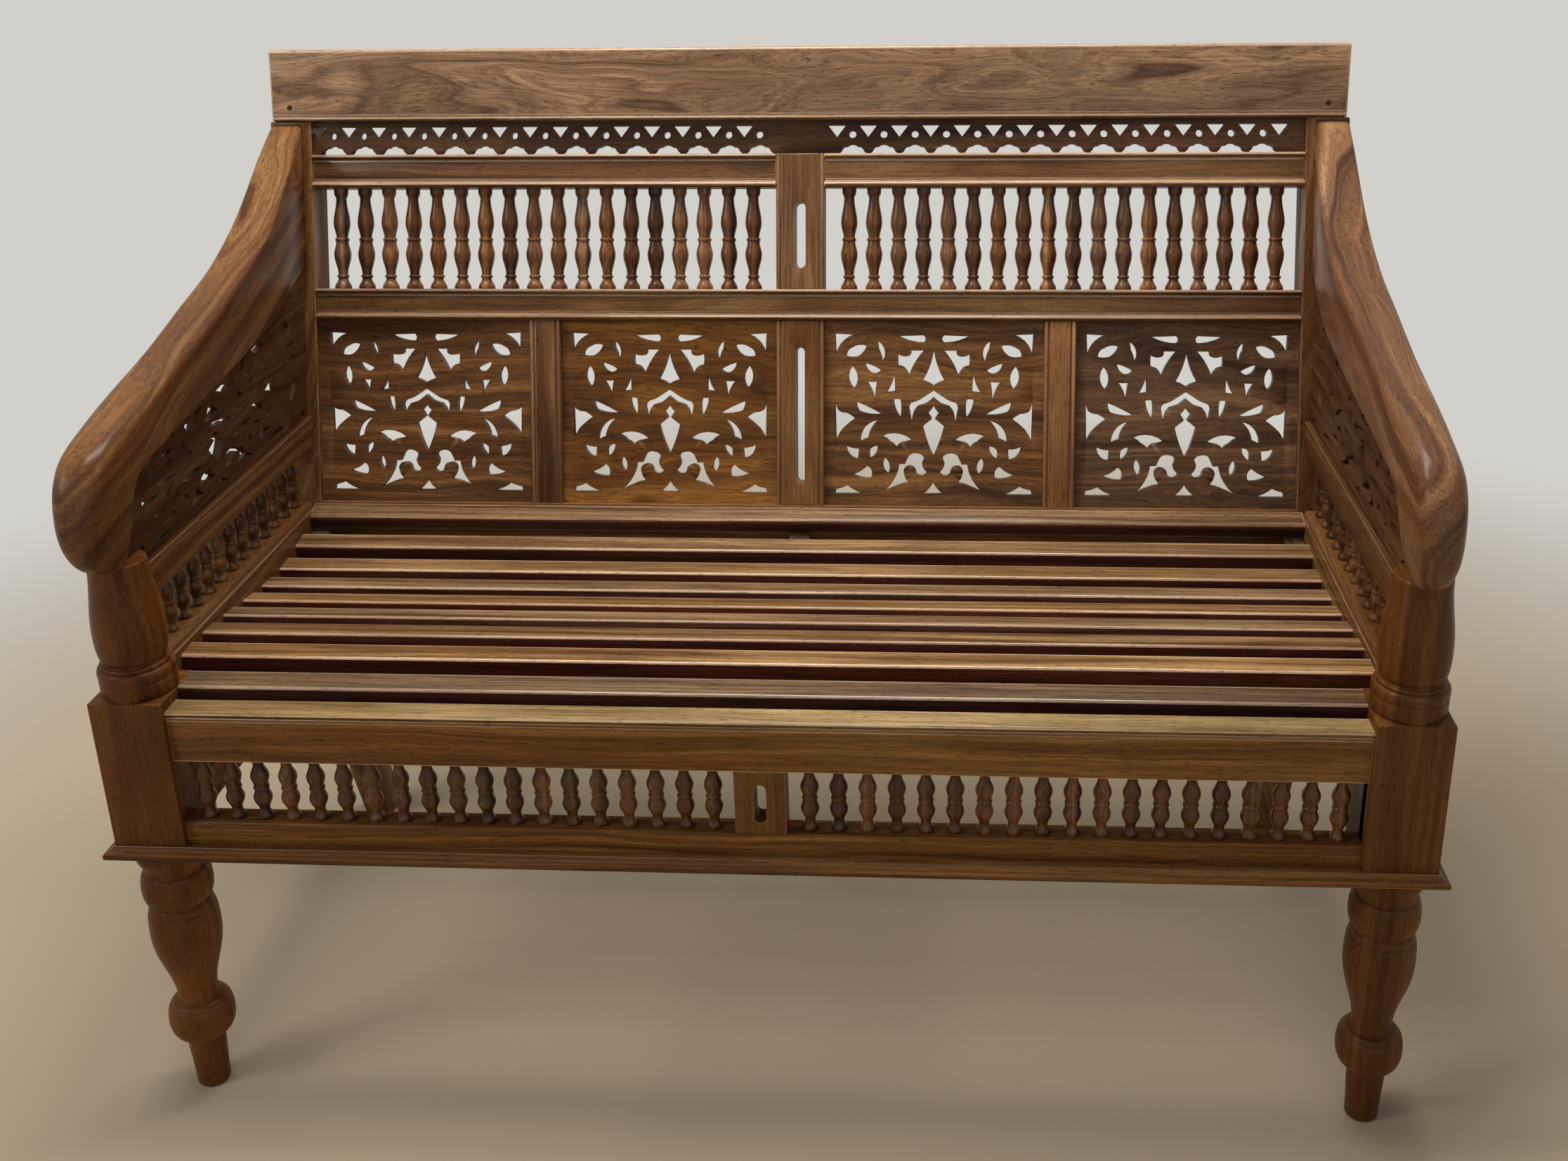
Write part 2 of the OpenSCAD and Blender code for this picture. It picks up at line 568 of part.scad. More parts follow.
// Smooth pass through rows of numbers: value at station u
function spline(rows, u) = let (n = len(rows) - 1, i = min(floor(u), n - 1), t = u - i,
        a = rows[max(i - 1, 0)], b = rows[i], c = rows[i + 1], d = rows[min(i + 2, n)])
    b + (c - a) * t / 2 + (2 * a - 5 * b + 4 * c - d) * t * t / 2 + (3 * b - a - 3 * c + d) * t * t * t / 2;

arm_corner = 5;
arm_steps = 4;

// Rounded section of the arm at one rib, as points in space
function arm_ring(rib) = let (x0 = -rib[5], x1 = -rib[4], top = [rib[0], rib[1]], low = [rib[2], rib[3]],
        h = norm(top - low), up = (top - low) / h, r = min(arm_edge_r * rib[6], 0.42 * h, 0.42 * (x1 - x0)),
        q = min(0.3 * h, 7), corners = [[x1, h, r, 0], [x0, h, r, 90], [x0, 0, q, 180], [x1, 0, q, 270]])
    [for (c = corners, j = [0:arm_corner]) let (a = c[3] + 90 * j / arm_corner,
            cx = c[0] + c[2] * (c[0] == x1 ? -1 : 1), cz = c[1] + c[2] * (c[1] == h ? -1 : 1),
            px = cx + c[2] * cos(a), pz = cz + c[2] * sin(a))
        [px, front_y + low.x + up.x * pz, low.y + up.y * pz]];

module arm_body() {
    last = (len(arm_ribs) - 1) * arm_steps;
    m = 4 * (arm_corner + 1);
    rings = [for (i = [0:last]) arm_ring(spline(arm_ribs, i / arm_steps))];
    points = [for (ring = rings) each ring];
    sides = [for (i = [0:last - 1], j = [0:m - 1]) let (a = i * m + j, b = i * m + (j + 1) % m)
        each [[a, b, a + m], [b, b + m, a + m]]];
    caps = [[for (j = [m - 1:-1:0]) j], [for (j = [0:m - 1]) last * m + j]];
    polyhedron(points, concat(sides, caps), convexity = 6);
}

// The six dowels themselves, a little shorter than their holes
module arm_dowels() {
    color(wood_dark) for (s = [0, 1])
        mirror([s, 0, 0]) {
            in_back() for (t = [300, 370])
                translate([-rear_mid - 5, 19, t]) rotate([90, 0, 0])
                    cylinder(r = dowel_r, h = 42, $fn = round_fn);
            translate([-post_x + 4.5, front_y + 19, head_z - 27])
                cylinder(r = dowel_r, h = 54, $fn = round_fn);
        }
}

// Line of the arm's underside over the side panel, as distance behind the front faces and height
fret_top = [[46, 637], [78, 643], [155, 653], [230, 662], [300, 671], [366, 680], [436, 694], [480, 703]];

module arm() {
    color(wood_light) difference() {
        arm_body();
        fret_body(0.2);
        dowels();
        in_back() block([-600, 0, 200], [-500, 60, 450]);
    }
}

// Plain shape of a side panel, from the middle rail up into the groove under the arm
module fret_shape(gap) {
    foot = side_mid_z1 - 5;
    tip = fret_top[len(fret_top) - 1].y + 7 + gap;
    polygon(concat([[front_y + 28 - gap, head_z], [front_y + 63, head_z], [front_y + 63, foot],
        [back_y + (foot - seat_z) * tan(rake), foot], [back_y + (tip - seat_z) * tan(rake), tip]],
        [for (i = [len(fret_top) - 1:-1:0])
            [front_y + fret_top[i].x - (i == 0 ? 8 : 0), fret_top[i].y + 7 + gap]]));
}

module fret_body(gap) {
    along_x(-fret_x - fret_d / 2 - gap, -fret_x + fret_d / 2 + gap) fret_shape(gap);
}

// Middle of the side pattern behind the front faces, and its stretch along the arm
fret_mid = 226;
fret_stretch = 1.486;

// Height of the open part of the side panel, s behind the front faces
function fret_height(s) = lookup(s, fret_top) - side_mid_z1;

// The pattern of the back panels drawn out along the arm and squeezed to the height under it
function fret_points(rows, way) = [for (p = outline(rows, 4)) let (s = fret_mid + way * fret_stretch * p.x)
    [front_y + s, side_mid_z1 + p.y / mid_t0 * fret_height(s)]];

// Cut-outs of the strip behind the pattern: distance behind the front faces, height above the rail
fret_rear_holes = [
    [[409, 84], [435, 85.5], [435, 90], [409, 88.5]], [[409, 70], [435, 71], [435, 76], [409, 75]],
    [[405, 29, 0.35], [430, 52, 0.35]], [[400, 3], [440, 3], [436, 10, -0.1]],
    [[412, 104], [430, 107], [421, 116]]];

module side_fret() {
    color(wood_dark) along_x(-fret_x - fret_d / 2, -fret_x + fret_d / 2) difference() {
        fret_shape(0);
        for (rows = leaf_holes, way = [-1, 1])
            polygon(fret_points(rows, way));
        for (rows = middle_holes)
            polygon(fret_points(rows, 1));
        for (rows = fret_rear_holes)
            translate([front_y, side_mid_z1]) polygon(outline(rows, 4));
    }
}

// Radius of the turned head at a height between the vase and the top
function head_at(z) = mix(vase_r, head_r, (1 - cos(180 * (z - vase_z) / (head_z - 2 - vase_z))) / 2);

// Places of the side spindles along Y
function side_ys() = [for (i = [0:side_spindles - 1]) front_y + 102.5 + 27 * i];

module side_mid_rail() {
    front = post_y + head_at(side_mid_z0);
    color(wood) difference() {
        union() {
            along_x(-side_out, -side_in) polygon([[post_y + 20, side_mid_z0],
                [back_y + (side_mid_z0 - seat_z) * tan(rake), side_mid_z0],
                [back_y + (side_mid_z1 - seat_z) * tan(rake), side_mid_z1], [post_y + 20, side_mid_z1]]);
            block([-side_x - 6, rear_face_y, side_mid_z0 + 6],
                [-side_x + 6, rear_face_y + 23, side_mid_z1 - 6]);
        }
        translate([-post_x, post_y, side_mid_z0 - 1])
            cylinder(r1 = head_at(side_mid_z0) + 0.1, r2 = head_at(side_mid_z1) + 0.3,
                h = side_mid_z1 - side_mid_z0 + 2, $fn = round_fn);
        translate([0, 0, -0.2]) fret_body(0.2);
        for (y = side_ys())
            translate([-side_x, y, side_mid_z0 - 1]) cylinder(r = pin_r, h = pin_l + 1.5, $fn = round_fn);
    }
}

module side_gallery(z0, z1) {
    color(wood) for (y = side_ys())
        translate([-side_x, y, z0]) pinned_spindle(short_spindle_rows(z1 - z0), z1 - z0, 3);
}

// Profiles of the side rails: the seat rail has a bead along its inner top edge
function seat_rail_rows(z0, z1) = [[-side_out, z0], [-side_in, z0], [-side_in, z1 - 8],
    [-side_in - 1, z1 - 7], [-side_in, z1 - 6, 0.5], [-side_in - 5, z1], [-side_out, z1]];
function plain_rail_rows(z0, z1) = [[-side_out, z0], [-side_in, z0], [-side_in, z1 - 2, 0.4],
    [-side_in - 2, z1], [-side_out, z1]];

// Side rail between the front block and the rear post, drilled for the spindles above it
module side_rail(rows, z0, z1, shoulder) {
    color(wood) difference() {
        union() {
            along_y(block_back, rear_face_y) polygon(outline(rows));
            block([-side_x - 6, block_back - tenon_l + 1, z0 + shoulder.x],
                [-side_x + 6, block_back + 1, min(z1, block_z1) - shoulder.y]);
            block([-side_x - 6, rear_face_y - 1, z0 + shoulder.x],
                [-side_x + 6, rear_face_y + 23, z1 - shoulder.y]);
        }
        for (y = side_ys())
            translate([-side_x, y, z1 - pin_l - 0.5]) cylinder(r = pin_r, h = pin_l + 2, $fn = round_fn);
        if (z1 > seat_rail_z0)
            for (y = side_ys())
                translate([-side_x, y, z0 - 1]) cylinder(r = pin_r, h = pin_l + 1.5, $fn = round_fn);
    }
}

module upper_gallery() {
    side_gallery(side_rail_z1, side_mid_z0);
}

module lower_gallery() {
    side_gallery(low_rail_z1, seat_rail_z0);
}

module side_seat_rail() {
    side_rail(seat_rail_rows(seat_rail_z0, side_rail_z1), seat_rail_z0, side_rail_z1, [8, 12]);
}

module side_lower_rail() {
    side_rail(plain_rail_rows(low_rail_z0, low_rail_z1), low_rail_z0, low_rail_z1, [4, 4]);
}

// Front seat rail with a nosing and a bead along its top edge
module front_seat_rail() {
    z1 = front_rail_z1;
    rows = [[rail_y1, seat_rail_z0], [rail_y1, z1 - 2, 0.4], [rail_y1 - 2, z1, 0], [rail_y0 + 5, z1, 0.45],
        [rail_y0 - 1.5, z1 - 7, 0], [rail_y0 + 1, z1 - 8.5, 0], [rail_y0 + 1, z1 - 9, 0.9],
        [rail_y0 + 0.5, z1 - 15, 0], [rail_y0, z1 - 15.5, 0], [rail_y0, seat_rail_z0]];
    color(wood) difference() {
        union() {
            along_x(-block_in, block_in) polygon(outline(rows));
            for (s = [-1, 1])
                block([s * (block_in + tenon_l / 2 - 1) - tenon_l / 2, rail_y0 + 7, seat_rail_z0 + 8],
                    [s * (block_in + tenon_l / 2 - 1) + tenon_l / 2, rail_y0 + 17, z1 - 16]);
        }
        for (s = [0, 1])
            mirror([s, 0, 0]) pin_holes(apron_xs(), apron_y, seat_rail_z0 - 1, pin_l + 1.5);
        block([-12, apron_y - 5, seat_rail_z0 - 1], [12, apron_y + 5, seat_rail_z0 + 12]);
    }
}

apron_stile_w = 46;
apron_bay = block_in - apron_stile_w / 2;
apron_pitch = apron_bay / (apron_spindles + 0.55);
function apron_xs() = [for (i = [0:apron_spindles - 1])
    -block_in + (apron_bay - apron_pitch * (apron_spindles - 1)) / 2 + i * apron_pitch];

module front_lower_rail() {
    color(wood) difference() {
        union() {
            along_x(-block_in, block_in) polygon(outline([[rail_y1, low_rail_z0], [rail_y1, low_rail_z1, 0],
                [rail_y0 + 2, low_rail_z1, 0.4], [rail_y0, low_rail_z1 - 2, 0], [rail_y0, low_rail_z0]]));
            for (s = [-1, 1])
                block([s * (block_in + tenon_l / 2 - 1) - tenon_l / 2, rail_y0 + 7, low_rail_z0 + 4],
                    [s * (block_in + tenon_l / 2 - 1) + tenon_l / 2, rail_y0 + 17, low_rail_z1 - 4]);
        }
        for (s = [0, 1])
            mirror([s, 0, 0]) pin_holes(apron_xs(), apron_y, low_rail_z1 - pin_l - 0.5, pin_l + 2);
        block([-12, apron_y - 5, low_rail_z1 - 12], [12, apron_y + 5, low_rail_z1 + 1]);
    }
}

module apron_stile() {
    half = apron_stile_w / 2;
    color(wood) difference() {
        union() {
            block([-half, rail_y0, low_rail_z1], [half, rail_y1, seat_rail_z0]);
            block([-11.5, apron_y - 5, low_rail_z1 - 11], [11.5, apron_y + 5, seat_rail_z0 + 11]);
        }
        for (z = [330, 358])
            translate([0, rail_y1 + 5, z]) rotate([90, 0, 0])
                cylinder(r = 5.2, h = rail_d + 10, $fn = round_fn);
        block([-5.2, rail_y0 - 5, 330], [5.2, rail_y1 + 5, 358]);
    }
}

module apron_spindle_row() {
    l = seat_rail_z0 - low_rail_z1;
    color(wood) for (x = apron_xs())
        translate([x, apron_y, low_rail_z1]) pinned_spindle(short_spindle_rows(l), l, 3);
}

// Base moulding, as distance out from the block face and height: a rounded nose with a cove above it
function base_rows(inner) = [[inner, cap_z0], [base_lip - 1.5, cap_z0, 0.3], [base_lip, cap_z0 + 1.5, 0],
    [base_lip, cap_z0 + 4, 0.4], [base_lip - 2.5, cap_z0 + 6.5, -0.3], [1.5, low_rail_z0, 0],
    [inner, low_rail_z0]];

// Stepped bed mould under the side lengths, measured the same way
bed_rows = [[-22, block_z0 - 6], [-12, block_z0 - 6, -0.3], [-6, block_z0 - 3.5, 0], [-5, block_z0 - 2, 0],
    [0, block_z0 - 1, 0.4], [2, block_z0 + 2, 0], [2, cap_z0 + 1], [-22, cap_z0 + 1]];

// Room for the four posts, so that a moulding fits round them
module post_room() {
    for (s = [-1, 1]) {
        block([s * post_x - post_w / 2, front_y, block_z0 - 20],
            [s * post_x + post_w / 2, block_back, block_z1]);
        block([s * rear_mid - rear_post_w / 2 - 0.1, rear_face_y, block_z0 - 20],
            [s * rear_mid + rear_post_w / 2 + 0.1, rear_face_y + 60, block_z1]);
    }
}

module base_moulding_front() {
    color(wood_dark) difference() {
        intersection() {
            along_x(-overall_w / 2, overall_w / 2)
                polygon([for (p = outline(base_rows(-36))) [front_y - p.x, p.y]]);
            linear_extrude(block_z1) polygon([[-overall_w / 2, front_y - base_lip],
                [overall_w / 2, front_y - base_lip], [overall_w / 2 - 60, front_y - base_lip + 60],
                [60 - overall_w / 2, front_y - base_lip + 60]]);
        }
        post_room();
    }
}

// Side moulding with its bed mould, running back past the rear post
base_rear_y = rear_face_y + 30;

module base_moulding_side() {
    color(wood_dark) difference() {
        union() {
            intersection() {
                along_y(front_y - base_lip, base_rear_y)
                    polygon([for (p = outline(base_rows(-50))) [-block_out - p.x, p.y]]);
                linear_extrude(block_z1) polygon([[-overall_w / 2, front_y - base_lip],
                    [60 - overall_w / 2, front_y - base_lip + 60], [60 - overall_w / 2, base_rear_y],
                    [-overall_w / 2, base_rear_y]]);
            }
            along_y(block_back, base_rear_y) polygon([for (p = outline(bed_rows)) [-block_out - p.x, p.y]]);
        }
        post_room();
    }
}

module rear_lower_rail() {
    color(wood) union() {
        block([-bay_x, rear_face_y + 4, low_rail_z0], [bay_x, rear_face_y + 26, low_rail_z1]);
        for (s = [-1, 1])
            block([s * (bay_x + tenon_l / 2 - 1) - tenon_l / 2, rear_face_y + 10, low_rail_z0 + 4],
                [s * (bay_x + tenon_l / 2 - 1) + tenon_l / 2, rear_face_y + 20, low_rail_z1 - 4]);
    }
}

// Slats lie along the seat curve, each tilted to its slope
slat_section = [[-slat_w / 2, -slat_t, 0], [slat_w / 2, -slat_t, 0], [slat_w / 2, -2, 0.4],
    [slat_w / 2 - 2, 0, 0.02], [-slat_w / 2 + 4.5, 0, 0.42], [-slat_w / 2, -4.5, 0]];
function slat_mid(i) = slat_start + slat_w / 2 + (i - 1) * slat_pitch;
function seat_slope(s) = atan((seat_top(s + 1) - seat_top(s - 1)) / 2);
function slat_reach(i) = slat_mid(i) + slat_w / 2 < post_w + 2 ? block_in : side_in;

module slat_bar(s, reach, w_rows) {
    translate([0, front_y + s, seat_top(s)]) rotate([seat_slope(s), 0, 0])
        along_x(-reach, reach) polygon(outline(w_rows));
}

module seat_slat(i) {
    color(wood_light) slat_bar(slat_mid(i), slat_reach(i), slat_section);
}

rear_slat_w = 23;
rear_slat_mid = seat_depth - rear_slat_w / 2 - 1;

module rear_slat() {
    color(wood_light) difference() {
        slat_bar(rear_slat_mid, side_in, [[-rear_slat_w / 2, -16, 0], [rear_slat_w / 2 - 6, -16, 0],
            [rear_slat_w / 2, -4, 0], [rear_slat_w / 2, 0, 0], [-rear_slat_w / 2 + 5, 0, 0.4],
            [-rear_slat_w / 2, -5, 0]]);
        in_back() block([-600, 0, -60], [600, 40, 40]);
        block([-600, rear_face_y, seat_z - 60], [600, rear_face_y + 40, knee_z]);
    }
}

// Corners of a slat's underside, in Y and Z
function slat_under(s, w, t) = let (a = seat_slope(s), c = [front_y + s, seat_top(s)],
        down = [sin(a), -cos(a)] * t, along = [cos(a), sin(a)] * w / 2)
    [c + down - along, c + down + along];

bearer_h = 34;

// Shaped bearer under the slats, with a flat for each one
module seat_bearer(x0, x1, y0) {
    flats = [for (i = [1:slat_count]) if (front_y + slat_mid(i) - slat_w / 2 > y0)
        each slat_under(slat_mid(i), slat_w, slat_t)];
    last = slat_under(rear_slat_mid, rear_slat_w, 16);
    top = concat([[y0, flats[0].y]], flats, [last[0], [rear_face_y, last[0].y + 1]]);
    color(wood_dark) along_x(x0, x1)
        polygon(concat([[rear_face_y, seat_rail_z0 + 4], [y0, seat_rail_z0 + 4]], top));
}

// Blocks glued into the corners of the seat frame
module corner_blocks() {
    under = slat_under(slat_mid(1), slat_w, slat_t);
    color(wood_dark) for (s = [0, 1])
        mirror([s, 0, 0]) {
            along_x(-block_in, -block_in + 32) polygon([[rail_y1, seat_rail_z0 + 4],
                [block_back, seat_rail_z0 + 4], [block_back, under[1].y], under[1], under[0],
                [rail_y1, under[0].y]]);
            block([-side_in + 20, rear_face_y - 32, seat_rail_z0 + 4],
                [-side_in + 52, rear_face_y, seat_rail_z0 + 34]);
        }
}

// Round pegs through the crest and the tenons of the rear posts
module crest_pegs() {
    color(wood_dark) in_back() for (s = [-1, 1])
        translate([s * (rear_mid - 1), 8.5, crest_t0 + 14]) rotate([90, 0, 0])
            cylinder(r = 3, h = 12.6, $fn = 24);
}

// Round pegs through the front posts and the tenons of the front rails
module rail_pegs() {
    color(wood_dark) for (s = [-1, 1], z = [seat_rail_z0 + 26, (low_rail_z0 + low_rail_z1) / 2])
        translate([s * (block_in + 14), block_back - 14, z]) rotate([90, 0, 0])
            cylinder(r = 3, h = 40, $fn = 24);
}

on_side(false) front_post();  // front_post_left
on_side(true) front_post();  // front_post_right
on_side(false) rear_post();  // rear_post_left
on_side(true) rear_post();  // rear_post_right
crest_rail();
frieze_board();
on_side(false) upper_rail();  // upper_rail_left
on_side(true) upper_rail();  // upper_rail_right
middle_rail();
rear_seat_rail();
centre_stile_upper();
centre_stile_lower();
on_side(false) panel_divider();  // panel_divider_left
on_side(true) panel_divider();  // panel_divider_right
pierced_panel(-panel_centre(1));  // pierced_panel_1
pierced_panel(-panel_centre(0));  // pierced_panel_2
pierced_panel(panel_centre(0));  // pierced_panel_3
pierced_panel(panel_centre(1));  // pierced_panel_4
on_side(false) back_spindle_row();  // back_spindles_left
on_side(true) back_spindle_row();  // back_spindles_right
on_side(false) arm();  // arm_left
on_side(true) arm();  // arm_right
arm_dowels();
on_side(false) side_fret();  // side_fret_left
on_side(true) side_fret();  // side_fret_right
on_side(false) side_mid_rail();  // side_mid_rail_left
on_side(true) side_mid_rail();  // side_mid_rail_right
on_side(false) upper_gallery();  // side_spindles_left
on_side(true) upper_gallery();  // side_spindles_right
on_side(false) side_seat_rail();  // side_seat_rail_left
on_side(true) side_seat_rail();  // side_seat_rail_right
on_side(false) side_lower_rail();  // side_lower_rail_left
on_side(true) side_lower_rail();  // side_lower_rail_right
on_side(false) lower_gallery();  // side_apron_spindles_left
on_side(true) lower_gallery();  // side_apron_spindles_right
front_seat_rail();
front_lower_rail();
apron_stile();
on_side(false) apron_spindle_row();  // apron_spindles_left
on_side(true) apron_spindle_row();  // apron_spindles_right
base_moulding_front();
on_side(false) base_moulding_side();  // base_moulding_left
on_side(true) base_moulding_side();  // base_moulding_right
rear_lower_rail();
seat_slat(1);  // seat_slat_1
seat_slat(2);  // seat_slat_2
seat_slat(3);  // seat_slat_3
seat_slat(4);  // seat_slat_4
seat_slat(5);  // seat_slat_5
seat_slat(6);  // seat_slat_6
seat_slat(7);  // seat_slat_7
seat_slat(8);  // seat_slat_8
rear_slat();
seat_bearer(-side_in, -side_in + 20, block_back);  // seat_bearer_left
seat_bearer(-11, 11, rail_y1);  // seat_bearer_middle
seat_bearer(side_in - 20, side_in, block_back);  // seat_bearer_right
corner_blocks();
crest_pegs();
rail_pegs();
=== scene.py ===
import math
import random

import bmesh
import bpy
import numpy as np
from mathutils import Matrix, Vector


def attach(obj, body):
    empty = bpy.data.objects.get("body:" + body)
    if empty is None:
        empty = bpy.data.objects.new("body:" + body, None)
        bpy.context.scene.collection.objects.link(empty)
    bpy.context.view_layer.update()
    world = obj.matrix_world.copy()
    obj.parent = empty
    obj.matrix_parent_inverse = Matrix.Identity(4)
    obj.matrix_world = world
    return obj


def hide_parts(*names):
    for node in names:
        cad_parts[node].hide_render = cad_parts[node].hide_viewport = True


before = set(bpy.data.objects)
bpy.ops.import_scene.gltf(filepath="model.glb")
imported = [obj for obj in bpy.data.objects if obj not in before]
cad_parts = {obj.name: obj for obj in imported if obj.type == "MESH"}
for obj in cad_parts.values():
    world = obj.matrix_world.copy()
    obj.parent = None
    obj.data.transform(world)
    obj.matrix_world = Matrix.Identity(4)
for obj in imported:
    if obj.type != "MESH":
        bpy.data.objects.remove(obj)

# The bench faces -Y and stands on z = 0. Places are in metres, and in millimetres where a comment says so
MM = 0.001
FRONT_Y = -0.270
SEAT_DEPTH = 0.422
# Where the seat meets the back, and how the back leans
BACK_Y = FRONT_Y + SEAT_DEPTH
SEAT_Z = 0.456
RAKE = math.radians(15.6)
ALONG = SIDE = (1, 0, 0)
UP = (0, 0, 1)
FRONT = (0, -1, 0)
TO_BACK = (0, 1, 0)
UP_BACK = Vector((0, math.sin(RAKE), math.cos(RAKE)))
OUT_OF_BACK = Vector((0, -math.cos(RAKE), math.sin(RAKE)))
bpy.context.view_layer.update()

# Sockets that share their name with others on the same node, by number: a Mix node's for colours, and a
# Compare node's for whole numbers
SHARE, UNDER, OVER, MIXED = 0, 6, 7, 2
COUNT_A, COUNT_B = 2, 3


def linear(hex_colour):
    """sRGB hex colour as linear RGBA"""
    parts = [int(hex_colour[i:i + 2], 16) / 255 for i in (1, 3, 5)]
    return tuple(c / 12.92 if c <= 0.04045 else ((c + 0.055) / 1.055) ** 2.4 for c in parts) + (1,)


def put(tree, kind, sockets=None, stops=(), **settings):
    """Adds a node with its settings, and links or sets its inputs, by name or number. A node given as a
    value stands for its first output. Stops are the places and colours of a ramp, its two ends first."""
    node = tree.nodes.new(kind)
    for name, value in settings.items():
        setattr(node, name, value)
    for key, value in (sockets or {}).items():
        if isinstance(value, bpy.types.Node):
            value = value.outputs[0]
        if isinstance(value, bpy.types.NodeSocket):
            tree.links.new(value, node.inputs[key])
        else:
            node.inputs[key].default_value = value
    for i, (place, colour) in enumerate(stops):
        element = node.color_ramp.elements[i] if i < 2 else node.color_ramp.elements.new(place)
        element.position = place
        element.color = linear(colour)
    return node


# Wood

# Steps of each pattern in a metre, along the grain and both ways across it
DRIFT_STEPS = (3.5, 14, 14)  # 286 by 71 mm: the rings wander slowly over a hand's width
PATCH_STEPS = (4.5, 13, 13)  # 222 by 77 mm: patches of heartwood and of gold
LINE_STEPS = (6, 480, 480)  # 167 by 2 mm: real lines are 1 mm apart, and these are coarser so that they show
PORE_STEPS = (95, 900, 900)  # 10.5 by 1.1 mm: open pores are short dark dashes
SHEEN_STEPS = (20, 60, 60)  # 50 by 17 mm: the lacquer has worn unevenly
BAND_STEPS = 1.1  # 910 mm: a band keeps its colour for almost a metre along the grain
WANDER = 0.055  # 55 mm: how far the rings wander from side to side at the most, for a figure of 1


